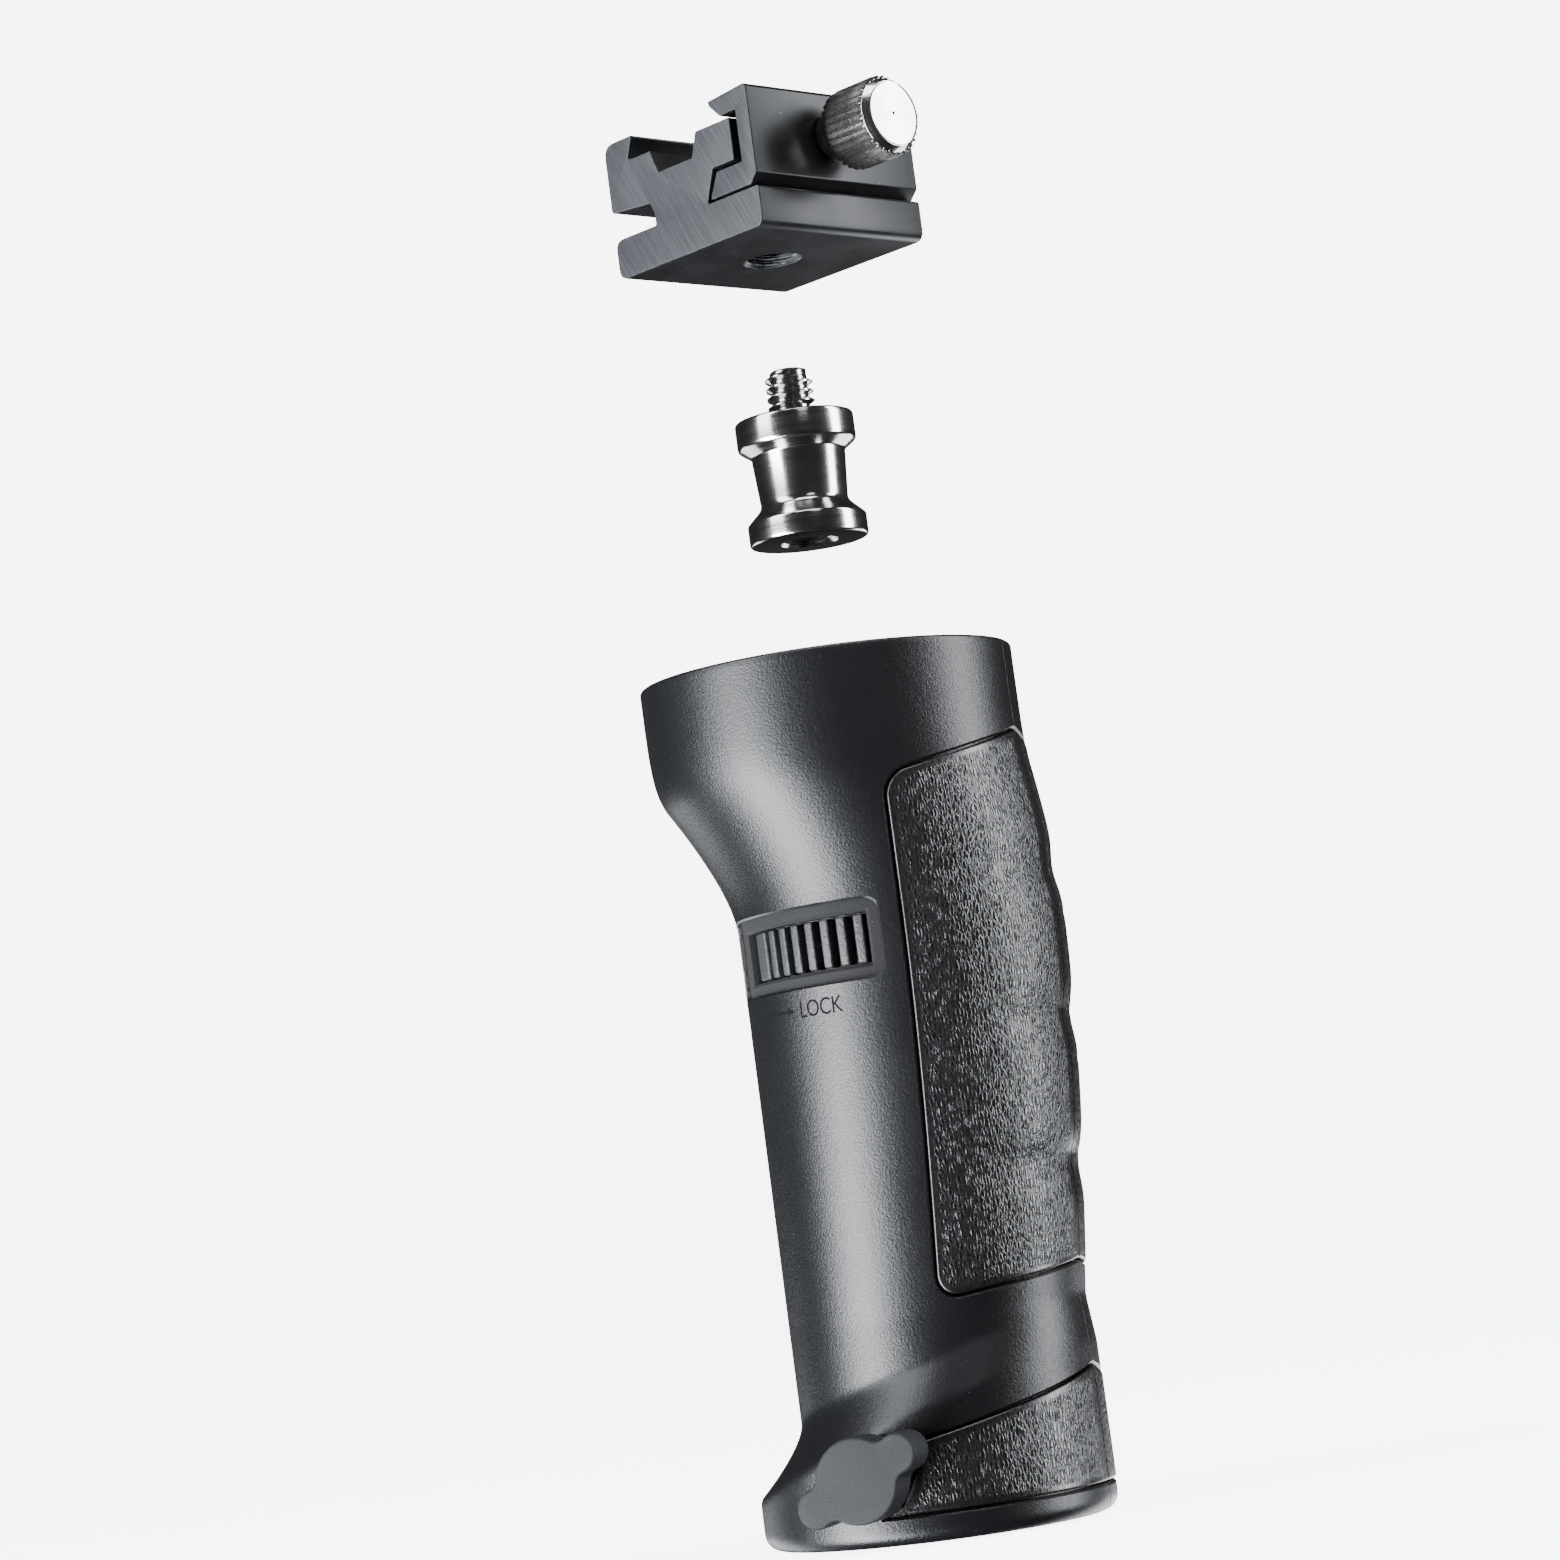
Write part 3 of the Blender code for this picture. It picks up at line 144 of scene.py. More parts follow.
def softened(corners, radius, steps=4, closed=False):
    # an outline with rounded corners; a third number on a corner is its own radius
    flat = [Vector(corner[:2]) for corner in corners]
    sizes = [corner[2] if len(corner) > 2 else radius for corner in corners]
    count = len(flat)
    outline = []
    for i in range(count):
        here = flat[i]
        if not closed and i in (0, count - 1):
            outline.append(tuple(here))
            continue
        a, b = flat[i - 1] - here, flat[(i + 1) % count] - here
        half = a.angle(b) / 2
        reach = min(sizes[i] / tan(half), a.length * 0.48, b.length * 0.48)
        if reach < 1e-6:
            outline.append(tuple(here))
            continue
        start, end = here + a.normalized() * reach, here + b.normalized() * reach
        for j in range(steps + 1):
            share = j / steps
            bend = (1 - share) ** 2 * start + 2 * share * (1 - share) * here + share ** 2 * end
            outline.append(tuple(bend))
    return outline


def arcPoints(centre, radius, start, end, steps):
    turns = [between(start, end, i / steps) for i in range(steps + 1)]
    return [(centre[0] + radius * cos(t), centre[1] + radius * sin(t)) for t in turns]


def drawnIn(outline, distance):
    # an outline with each of its sides moved inwards
    area = sum(a[0] * b[1] - b[0] * a[1] for a, b in zip(outline, outline[1:] + outline[:1]))
    way = distance if area > 0 else -distance
    drawn = []
    for before, here, after in zip(outline[-1:] + outline[:-1], outline, outline[1:] + outline[:1]):
        one = (Vector(here) - Vector(before)).normalized()
        two = (Vector(after) - Vector(here)).normalized()
        side = Vector((-one.y - two.y, one.x + two.x))
        drawn.append(tuple(Vector(here) + side * way / (1 + one.dot(two))))
    return drawn


def prism(name, outline, low, high, edge=0.0, steps=2):
    # an outline drawn out along Z, with its end edges rounded
    levels = [(low, 0.0)]
    if edge:
        turns = [pi / 2 * (1 - i / steps) for i in range(steps + 1)]
        levels = [(low + edge * (1 - sin(t)), edge * (1 - cos(t))) for t in turns]
    levels += [(low + high - level, inset) for level, inset in reversed(levels)]
    return loft(name, [[(x, y, z) for x, y in (drawnIn(outline, inset) if inset else outline)]
                       for z, inset in levels])


def rod(name, radius, low, high, steps, edge=0.0):
    profile = [(0, low), (radius, low), (radius, high), (0, high)]
    return turned(name, softened(profile, edge, 3) if edge else profile, steps)


def helix(name, inner, outer, pitch, low, high, innerWidth, outerWidth, steps=40):
    # a thread's ridge, or the groove that cuts one; it dies away at both ends
    rings = []
    count = round((high - low) / pitch * steps)
    for i in range(count + 1):
        turn, middle = tau * i / steps, low + pitch * i / steps
        fade = clamped(min(i, count - i) * 3 / steps + 0.05)
        tip, width = between(inner, outer, fade), between(innerWidth, outerWidth, fade)
        section = ((inner, -innerWidth), (tip, -width), (tip, width), (inner, innerWidth))
        rings.append([(r * cos(turn), r * sin(turn), middle + w / 2) for r, w in section])
    return loft(name, rings)


def moved(piece, matrix):
    piece.data.transform(matrix)
    if matrix.determinant() < 0:
        piece.data.flip_normals()
    return piece


def aimed(piece, place, direction):
    # a piece made along +Z from the origin, set at a place and pointed in a direction
    turn = Vector(direction).to_track_quat("Z", "Y").to_matrix().to_4x4()
    return moved(piece, Matrix.Translation(Vector(place)) @ turn)


def baked(piece):
    # puts the modifiers into the mesh
    bpy.context.view_layer.update()
    graph = bpy.context.evaluated_depsgraph_get()
    mesh = bpy.data.meshes.new_from_object(piece.evaluated_get(graph))
    piece.modifiers.clear()
    piece.data = mesh
    return piece


def carved(piece, tools, operation="DIFFERENCE"):
    for tool in tools:
        cutter = piece.modifiers.new("carve", "BOOLEAN")
        cutter.operation, cutter.solver, cutter.object = operation, "MANIFOLD", tool
    baked(piece)
    for tool in tools:
        bpy.data.objects.remove(tool)
    return piece


def smoothed(piece, degrees):
    piece.data.shade_smooth()
    piece.data.set_sharp_from_angle(angle=radians(degrees))


def finished(piece, surface, body, slotName, *nodes, degrees=32):
    # smooth shading, material, body and the frame's nodes that the piece stands for; the slot name is not
    # used
    if degrees:
        smoothed(piece, degrees)
    piece.data.materials.clear()
    piece.data.materials.append(surface)
    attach(piece, body)
    if nodes:
        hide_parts(*nodes)


# small tools for node trees

def fill(tree, item, **sockets):
    # sets or links a node's inputs: each by its name, with _ for a space, or by i and its number
    for key, value in sockets.items():
        socket = item.inputs[int(key[1:]) if key[1:].isdigit() else key.replace("_", " ")]
        if hasattr(value, "is_linked"):
            tree.links.new(value, socket)
        else:
            socket.default_value = (*value, 1) if socket.type == "RGBA" else value
    return item


def node(tree, kind, settings=None, **sockets):
    item = tree.nodes.new(kind if kind.startswith("Geometry") else "ShaderNode" + kind)
    for key, value in (settings or {}).items():
        setattr(item, key, value)
    return fill(tree, item, **sockets)


def newTree(name, inputs, outputs, kind="Shader"):
    # a node group; with each input's name comes its default number, or a word for the kind of its socket
    tree = bpy.data.node_groups.new(name, kind + "NodeTree")
    for label, value in inputs:
        word = value if isinstance(value, str) else "Float"
        socket = tree.interface.new_socket(name=label, in_out="INPUT", socket_type="NodeSocket" + word)
        if word != value:
            socket.default_value = value
    word = "Float" if kind == "Shader" else kind
    for label in outputs:
        tree.interface.new_socket(name=label, in_out="OUTPUT", socket_type="NodeSocket" + word)
    return tree, tree.nodes.new("NodeGroupInput").outputs, tree.nodes.new("NodeGroupOutput")


def useGroup(tree, group, **values):
    return node(tree, "Group", {"node_tree": group}, **values).outputs


def calculated(tree, operation, a, b=0.0, c=0.0):
    return node(tree, "Math", {"operation": operation}, i0=a, i1=b, i2=c).outputs[0]


def times(tree, a, b):
    return calculated(tree, "MULTIPLY", a, b)


def plus(tree, a, b):
    return calculated(tree, "ADD", a, b)


def vectorMath(tree, operation, a, b):
    return node(tree, "VectorMath", {"operation": operation}, i0=a, i1=b).outputs


def mapRange(tree, value, low, high, toLow=0.0, toHigh=1.0):
    return node(tree, "MapRange", {"clamp": True}, i0=value, i1=low, i2=high, i3=toLow, i4=toHigh).outputs[0]


def rotated(tree, vector, turn):
    return node(tree, "Mapping", None, Vector=vector, Rotation=turn).outputs[0]


def objectPlace(tree, turn=(0, 0, 0)):
    return rotated(tree, node(tree, "TexCoord").outputs["Object"], turn)


def noise(tree, vector, scale, detail, rough=0.5):
    item = node(tree, "TexNoise", None, Vector=vector, Scale=scale, Detail=detail, Roughness=rough)
    return item.outputs["Fac"]


def attribute(tree, name):
    return node(tree, "Attribute", {"attribute_name": name}).outputs["Fac"]


def mixedColor(tree, factor, one, two):
    # the mix node's inputs 6 and 7 and its output 2 are the coloured ones
    return node(tree, "Mix", {"data_type": "RGBA"}, i0=factor, i6=one, i7=two).outputs[2]


def newMaterial(name, color, roughness, metallic=0.0, **constants):
    surface = bpy.data.materials.new(name)
    surface.use_nodes = True
    tree = surface.node_tree
    shader = fill(tree, tree.nodes["Principled BSDF"], Base_Color=color, Roughness=roughness,
                  Metallic=metallic, **constants)
    return surface, tree, shader


def surfaced(tree, shader, color, rough, height, depth):
    # colour, roughness and bump of a material
    bump = node(tree, "Bump", None, Strength=1.0, Distance=depth, Height=height)
    fill(tree, shader, Base_Color=color, Roughness=rough, Normal=bump.outputs[0])


# camera and studio

camera = {
    "lens": 94.15, "distance": 0.535, "height": 0.0411, "azimuth": 20.0,
    "pitch": 6.2, "roll": 7.5, "yaw": 0.8636, "film": 36, "clip": (0.01, 20),
}


def setCamera():
    around, up = radians(camera["azimuth"]), radians(camera["pitch"])
    aside, roll = radians(camera["yaw"]), radians(camera["roll"])
    level = Vector((-sin(around + aside), cos(around + aside), 0))
    ahead = level * cos(up) + Vector((0, 0, sin(up)))
    right = level.cross(Vector((0, 0, 1)))
    above = right.cross(ahead)
    sideways = right * cos(roll) - above * sin(roll)
    upward = right * sin(roll) + above * cos(roll)
    data = bpy.data.cameras.new("camera")
    data.lens, data.sensor_width = camera["lens"], camera["film"]
    data.clip_start, data.clip_end = camera["clip"]
    item = linked("camera", data)
    place = Vector((axisX, axisY, 0)) - Vector((-sin(around), cos(around), 0)) * camera["distance"]
    place.z = camera["height"]
    turn = Matrix((sideways, upward, -ahead)).transposed().to_4x4()
    item.matrix_world = Matrix.Translation(place) @ turn
    bpy.context.scene.camera = item


studio = {
    "floorRadius": 1.6, "wallHeight": 1.6, "fillet": 0.6, "paper": 0.9, "paperGlow": 6.0, "drop": 0.0002,
    "skyLight": 0.035, "groundLight": 0.03, "horizon": (-0.25, 0.1), "tint": (0.93, 0.96, 1.0), "aim": 0.09,
    "boxes": (   # name, bearing from the camera's side, distance, height, width, tall, watts
        ("leftBox", -58, 0.75, -0.26, 0.46, 0.96, 54.0),
        ("leftHighBox", -60, 0.75, 0.60, 0.44, 0.70, 11.0),
        ("rightBox", 86, 0.75, 0.225, 0.25, 0.95, 15.5),
        ("frontBox", 20, 1.10, 0.70, 0.30, 0.40, 1.0),
        ("backLeftBox", 150, 0.75, -0.28, 0.50, 0.44, 4.0),
        ("backRightBox", 218, 0.75, -0.28, 0.50, 0.44, 3.0),
        ("topBox", 10, 0.25, 0.95, 0.50, 0.40, 6.0),
    ),
}


def setFloor():
    radius, high, fillet = studio["floorRadius"], studio["wallHeight"], studio["fillet"]
    profile = [(0, 0), (radius - fillet, 0)]
    profile += [(radius - fillet + fillet * sin(t), fillet - fillet * cos(t)) for t in quarterTurns(1, 12)]
    floor = turned("studioFloor", profile + [(radius, high)], 96)
    moved(floor, Matrix.Translation((0, 0, cadLow.z - studio["drop"])))
    floor.data.flip_normals()
    smoothed(floor, 60)
    glow = {"Emission_Color": (1, 1, 1), "Emission_Strength": studio["paperGlow"]}
    floor.data.materials.append(newMaterial("studioPaper", (studio["paper"],) * 3, 0.9, **glow)[0])
    floor.visible_glossy = floor.visible_diffuse = False   # the paper lights nothing, so all else stays dark
    floor.visible_shadow = False   # and the tall light boxes shine from below its level too


def setLights():
    for name, bearing, distance, height, width, tall, watts in studio["boxes"]:
        around = radians(camera["azimuth"] + bearing)
        place = Vector((axisX + distance * sin(around), axisY - distance * cos(around), height))
        data = bpy.data.lights.new(name, "AREA")
        data.shape, data.size, data.size_y, data.energy = "RECTANGLE", width, tall, watts
        data.color = studio["tint"]
        lamp = linked(name, data)
        ahead = Vector((axisX, axisY, studio["aim"])) - place
        lamp.location = place
        lamp.rotation_mode = "QUATERNION"
        lamp.rotation_quaternion = ahead.to_track_quat("-Z", "Y")


def setSky():
    # white to the camera and dim to all else
    world = bpy.data.worlds.new("studioLight")
    bpy.context.scene.world = world
    world.use_nodes = True
    tree = world.node_tree
    facing = node(tree, "SeparateXYZ", None, i0=node(tree, "TexCoord").outputs["Generated"])
    dim = mapRange(tree, facing.outputs["Z"], *studio["horizon"], studio["groundLight"], studio["skyLight"])
    seen = node(tree, "LightPath").outputs["Is Camera Ray"]
    strength = node(tree, "Mix", None, i0=seen, i2=dim, i3=1.0).outputs[0]
    fill(tree, tree.nodes["Background"], Color=(1, 1, 1), Strength=strength)


setCamera()
setFloor()
setLights()
setSky()
print("camera and studio set")


# effects that the finishes share, as node groups

def makeMouldGrain():
    # fine spark-eroded grain of moulded plastic
    group, given, put = newTree("mouldGrain", (("Scale", 3600.0),), ("Height", "Blotch"))
    place = objectPlace(group)
    fill(group, put, Height=mapRange(group, noise(group, place, given["Scale"], 3.0, 0.6), 0.3, 0.7),
         Blotch=mapRange(group, noise(group, place, 90.0, 3.0), 0.3, 0.7))
    return group


def makeLeatherGrain():
    # wrinkled pebbles, a little longer than they are wide
    group, given, put = newTree(
        "leatherGrain", (("Scale", 2300.0), ("Wander", 0.0003), ("Crease", 0.2)), ("Height", "Top"))
    place = objectPlace(group)
    drift = node(group, "TexNoise", None, Vector=place, Scale=1900.0, Detail=2.0).outputs["Color"]
    offset = vectorMath(group, "SUBTRACT", drift, (0.5, 0.5, 0.5))[0]
    offset = node(group, "VectorMath", {"operation": "SCALE"}, i0=offset, Scale=given["Wander"]).outputs[0]
    longer = vectorMath(group, "MULTIPLY", vectorMath(group, "ADD", place, offset)[0], (1, 1, 0.4))[0]
    border, middle = (node(group, "TexVoronoi", {"feature": feature}, Vector=longer, Scale=given["Scale"])
                      for feature in ("DISTANCE_TO_EDGE", "F1"))
    dome = mapRange(group, middle.outputs["Distance"], 0.0, 0.9, 1.0, 0.35)
    top = times(group, mapRange(group, border.outputs["Distance"], 0.0, given["Crease"]), dome)
    fine = times(group, noise(group, place, 7000.0, 2.0), 0.2)
    fill(group, put, Height=plus(group, top, fine), Top=top)
    return group


def makeEdgeWear():
    # where an edge is, broken up by noise, as rubbed anodising
    group, given, put = newTree("edgeWear", (("Radius", 0.0002), ("Scale", 700.0)), ("Mask",))
    soft = node(group, "Bevel", {"samples": 6}, Radius=given["Radius"]).outputs[0]
    dot = vectorMath(group, "DOT_PRODUCT", soft, node(group, "NewGeometry").outputs["Normal"])["Value"]
    rub = noise(group, objectPlace(group), given["Scale"], 4.0, 0.65)
    broken = times(group, rub, plus(group, mapRange(group, dot, 0.995, 0.9), 0.35))
    fill(group, put, Mask=mapRange(group, broken, 0.52, 0.7))
    return group


def makeFineLines():
    # fine straight lines, from turning, sawing or drawing, along one axis of the piece
    group, given, put = newTree(
        "fineLines", (("Place", "Vector"), ("Along", 60.0), ("Across", 5200.0)), ("Lines",))
    rate = node(group, "CombineXYZ", None, i0=given["Along"], i1=given["Across"], i2=given["Across"])
    place = vectorMath(group, "MULTIPLY", given["Place"], rate.outputs[0])[0]
    fill(group, put, Lines=noise(group, place, 1.0, 3.0, 0.6))
    return group


def makeHandling():
    # faint dust and rubbed patches, for roughness and a little colour
    group, given, put = newTree("handling", (("Scale", 55.0), ("Specks", 2600.0)), ("Smudge", "Speck"))
    place = objectPlace(group)
    dots = node(group, "TexVoronoi", {"feature": "F1"}, Vector=place, Scale=given["Specks"]).outputs
    chance = node(group, "TexWhiteNoise", {"noise_dimensions": "3D"}, Vector=dots["Position"])
    rare = calculated(group, "GREATER_THAN", chance.outputs["Value"], 0.985)
    fill(group, put, Smudge=mapRange(group, noise(group, place, given["Scale"], 5.0, 0.6), 0.35, 0.7),
         Speck=times(group, mapRange(group, dots["Distance"], 0.16, 0.08), rare))
    return group


mouldGrain, leatherGrain, edgeWear = makeMouldGrain(), makeLeatherGrain(), makeEdgeWear()
fineLines, handling = makeFineLines(), makeHandling()


# finishes, one material for each

tones = {   # a finish's base colour, then the one of its rubbed, smudged or raised places
    "shell": ((0.0027, 0.0029, 0.0035), (0.0034, 0.0036, 0.0043)),
    "liner": ((0.006, 0.006, 0.0067), (0.009, 0.009, 0.0097)),
    "slide": ((0.011, 0.0115, 0.0126), (0.019, 0.0198, 0.0214)),
    "knob": ((0.013, 0.0135, 0.0148), (0.016, 0.0167, 0.0183)),
    "rubber": ((0.0022, 0.0022, 0.0025), (0.004, 0.004, 0.0045)),
    "alloy": ((0.0028, 0.0029, 0.0034), (0.008, 0.0084, 0.0098)),
    "sawn": ((0.021, 0.022, 0.0244), (0.036, 0.0375, 0.042)),
    "bare": (0.26, 0.27, 0.29), "dust": (0.2, 0.2, 0.2), "ink": (0.002, 0.002, 0.0023),
    "spigot": (0.5, 0.495, 0.485), "nickel": (0.5, 0.5, 0.49), "zinc": (0.5, 0.5, 0.51),
    "brass": (0.62, 0.44, 0.17),
}


def darker(color, share):
    return tuple(channel * share for channel in color)


def plasticMaterial(name, color, worn, roughness, grainScale, grainDepth, **constants):
    # satin moulded plastic: grain, blotches and dust; duller where the recess attribute is set, and darker
    # there as painted shade
    surface, tree, shader = newMaterial(name, color, roughness, **constants)
    grain, marks = useGroup(tree, mouldGrain, Scale=grainScale), useGroup(tree, handling)
    sunk = attribute(tree, "recess")
    base = mixedColor(tree, marks["Smudge"], color, worn)
    # painted shade: the sunk border round the window gets a darker colour
    base = mixedColor(tree, sunk, base, darker(color, 0.6))
    base = mixedColor(tree, times(tree, marks["Speck"], 0.5), base, tones["dust"])
    rough = mapRange(tree, grain["Blotch"], 0, 1, roughness - 0.012, roughness + 0.018)
    surfaced(tree, shader, base, plus(tree, rough, times(tree, sunk, 0.5)), grain["Height"], grainDepth)
    return surface


def rubberMaterial(name, color, top, scale, depth):
    # leather-grained rubber; the piece's grain attribute fades the pebbles out at its smooth strips
    surface, tree, shader = newMaterial(name, color, 0.42, Specular_IOR_Level=0.6)
    grain, fine = useGroup(tree, leatherGrain, Scale=scale), useGroup(tree, mouldGrain, Scale=3000.0)
    height = times(tree, grain["Height"], attribute(tree, "grain"))
    height = plus(tree, height, times(tree, fine["Height"], 0.1))
    rough = mapRange(tree, grain["Top"], 0, 1, 0.38, 0.22)
    surfaced(tree, shader, mixedColor(tree, grain["Top"], color, top), rough, height, depth)
    return surface


def alloyMaterial(name, color, smudged):
    # black anodised extrusion: lighter sawn ends with saw marks, rubbed edges, scratches
    surface, tree, shader = newMaterial(name, color, 0.36, 0.3, Specular_IOR_Level=0.3)
    turn = (0, 0, -adapter["turn"])
    normal = rotated(tree, node(tree, "TexCoord").outputs["Normal"], turn)
    facing = node(tree, "SeparateXYZ", None, i0=normal).outputs["Y"]
    ends = mapRange(tree, calculated(tree, "ABSOLUTE", facing), 0.8, 0.9)
    local = objectPlace(tree, turn)
    sawTilt, drawnTilt = (0, radians(28), 0), (0, 0, radians(90))
    cuts, drawn = (
        useGroup(tree, fineLines, Place=rotated(tree, local, tilt), Along=along, Across=across)["Lines"]
        for tilt, along, across in ((sawTilt, 3600.0, 90.0), (drawnTilt, 40.0, 4200.0)))
    marks = useGroup(tree, handling, Scale=120.0, Specks=1400.0)
    wear = useGroup(tree, edgeWear, Radius=0.0003, Scale=1100.0)["Mask"]
    base = mixedColor(tree, ends, mixedColor(tree, marks["Smudge"], color, smudged),
                      mixedColor(tree, mapRange(tree, cuts, 0.4, 0.72), *tones["sawn"]))
    rubbed = calculated(tree, "MAXIMUM", times(tree, wear, 0.75), times(tree, marks["Speck"], 0.6))
    rough = plus(tree, mapRange(tree, ends, 0, 1, 0.33, 0.5), times(tree, marks["Smudge"], 0.08))
    height = plus(tree, times(tree, drawn, 0.3), times(tree, times(tree, cuts, ends), 0.8))
    surfaced(tree, shader, mixedColor(tree, rubbed, base, tones["bare"]), rough, height, 0.00002)
    return surface


def metalMaterial(name, color, roughness, lineTurn, lineDepth, lineRate=5200.0):
    # turned and plated metal with faint lathe lines across the axis
    surface, tree, shader = newMaterial(name, color, roughness, 1.0)
    lines = useGroup(tree, fineLines, Place=objectPlace(tree, lineTurn), Along=lineRate, Across=40.0)["Lines"]
    smudge = useGroup(tree, handling, Scale=160.0, Specks=900.0)["Smudge"]
    rough = mapRange(tree, lines, 0.3, 0.7, roughness * 0.8, roughness * 1.4)
    surfaced(tree, shader, mixedColor(tree, smudge, color, darker(color, 0.72)), rough, lines, lineDepth)
    return surface


adapter = {
    "turn": radians(-25.5), "width": 0.0285, "length": 0.0295, "foot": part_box("shoe_base")[0].z,
    "slab": 0.0054, "slabCorner": 0.0015, "slotDepth": 0.0083, "slotHeight": 0.0038, "blockTop": 0.0185,
    "blockLip": 0.0058, "blockCorner": 0.001875, "ledge": 0.0154, "undercut": 0.0014, "lipLow": 0.0044,
    "reliefFloor": 0.0122, "reliefStart": 0.0089, "reliefEnd": 0.018, "reliefSlope": 0.0012,
    "baseEdge": 0.0247, "tongueTop": 0.0097, "tongueTip": 0.0205, "tongueRoot": 0.0187,
    "jawTop": 0.019, "jawWall": 0.0025, "jawLip": 0.0075, "jawLipRun": 0.002, "jawLipFace": 0.00125,
    "jawGap": 0.0006, "jawBevel": 0.0014, "edge": 0.0005, "gap": 0.0003,
    "thumbHeight": 0.0128, "studRadius": 0.0019, "studWall": 0.0008, "studGap": 0.00012, "softEdge": 0.00025,
    "sawEdge": 0.00015,
}

shellPlastic = plasticMaterial(
    "shellPlastic", *tones["shell"], 0.33, 3300.0, 0.000022, Specular_IOR_Level=0.4)
linerPlastic = plasticMaterial("linerPlastic", *tones["liner"], 0.46, 2600.0, 0.00002)
slidePlastic = plasticMaterial("slidePlastic", *tones["slide"], 0.5, 2200.0, 0.00006)
knobPlastic = plasticMaterial("knobPlastic", *tones["knob"], 0.6, 4200.0, 0.00002, Specular_IOR_Level=0.15)
gripRubber = rubberMaterial("gripRubber", *tones["rubber"], 2200.0, 0.00006)
blackAlloy = alloyMaterial("blackAlloy", *tones["alloy"])
spigotPlate = metalMaterial("spigotPlate", tones["spigot"], 0.15, (0, radians(90), 0), 0.000004)
screwPlate = metalMaterial("screwPlate", tones["nickel"], 0.17, (0, 0, -adapter["turn"]), 0.00001, 3000.0)
zincSteel = metalMaterial("zincSteel", tones["zinc"], 0.3, (0, 0, 0), 0.00001)
turnedBrass = metalMaterial("turnedBrass", tones["brass"], 0.28, (0, 0, 0), 0.00001)
letterInk = newMaterial("letterInk", tones["ink"], 0.75, Specular_IOR_Level=0.08)[0]
print("finishes made")


# the handle's outer form, which shells, pads and lettering share

form = {
    "height": 0.113, "rimRadius": 0.0248, "rimShift": -0.0003, "gripRadius": 0.02135, "gripShift": 0.0054995,
    "waistRadius": 0.01945, "waistShift": 0.0034, "footRadius": 0.02305, "footShift": 0.00025,
    "sideShare": 0.97, "flareBase": 0.079, "flareTop": 0.0982, "flareCurve": 1.4, "flareStart": 0.2,
    "footStart": (0.0278, 0.0144), "footCrease": (0.0218, 0.0058), "footCurve": (1.0, 1.5), "footEdge": 0.05,
    "shoulder": 0.2, "grooves": (0.0825, 0.0635, 0.0445), "grooveDepth": 0.0007, "grooveWidth": 0.0031,
    "creases": (0.0768, 0.064, 0.0578, 0.0458), "creaseDepth": 0.00012, "creaseWidth": 0.0005,
    "partingGap": 0.0001, "ringSteps": 96,
}


def settled(share, soft):
    # a share that eases into its end instead of stopping there with a hard edge
    return share if share < 1 - soft else 1 - soft * exp((1 - soft - share) / soft)


def bodySection(height):
    # middle and radius of the handle's section, before the foot flares out
    if height > form["flareBase"]:
        reach = (height - form["flareBase"]) / (form["flareTop"] - form["flareBase"])
        low, curve = form["flareStart"], form["flareCurve"]
        share = hypot(reach, low) ** curve - low ** curve   # a soft start
        share = settled(share, form["shoulder"])
        return (between(form["gripShift"], form["rimShift"], share),
                between(form["gripRadius"], form["rimRadius"], share))
    share = clamped((height - form["footStart"][0]) / (form["flareBase"] - form["footStart"][0]))
    share = sin(share * pi / 2)
    return (between(form["waistShift"], form["gripShift"], share),
            between(form["waistRadius"], form["gripRadius"], share))


def footShare(angle, height):
    # 0 on the grip and 1 on the foot, whose flare starts higher in front than behind
    turn, swing = abs(remainder(angle, tau)) / pi, (1 - cos(angle)) / 2
    start, crease = between(*form["footStart"], (turn + swing) / 2), between(*form["footCrease"], swing)
    curve = between(*form["footCurve"], clamped(turn * 2 - 0.8))   # a sharp start in front, a soft one behind
    return settled(max(0.0, (start - height) / (start - crease)) ** curve, form["footEdge"])


def grooveDepth(angle, height):
    # the finger waves and the fine creases between them, on the front
    facing = max(0.0, cos(angle))
    depth = 0.0
    for middle in form["grooves"]:
        reach = (height - middle) / form["grooveWidth"]
        depth += form["grooveDepth"] * exp(-reach * reach)
    for middle in form["creases"]:
        reach = (height - middle) / form["creaseWidth"]
        depth += form["creaseDepth"] * exp(-reach * reach) * clamped(facing * 5 - 3)
    return depth * facing * facing


def skin(angle, height, inset):
    # a point of the handle's outer form, or of one that lies inset under it
    shift, radius = bodySection(height)
    share = footShare(angle, height)
    shift = between(shift, form["footShift"], share)
    radius = between(radius, form["footRadius"], share) - grooveDepth(angle, height)
    x = shift + (radius - inset) * cos(angle)
    y = (radius * form["sideShare"] - inset) * sin(angle)
    return Vector((axisX + x, axisY + y, height))


def eased(angle, height):
    # keeps a side border of the grip pads straight where the handle flares, as seen from the side
    shift, radius = bodySection(height)
    lean = asin(max(0.0, form["gripShift"] - shift) / radius) if height > form["flareBase"] else 0.0
    return angle * (1 - lean * pads["ease"] / pads["span"])


def skinRing(height, inset):
    steps = form["ringSteps"]
    return [skin(tau * i / steps, height, inset) for i in range(steps)]


# the two shells, with the sizes of what sits in them

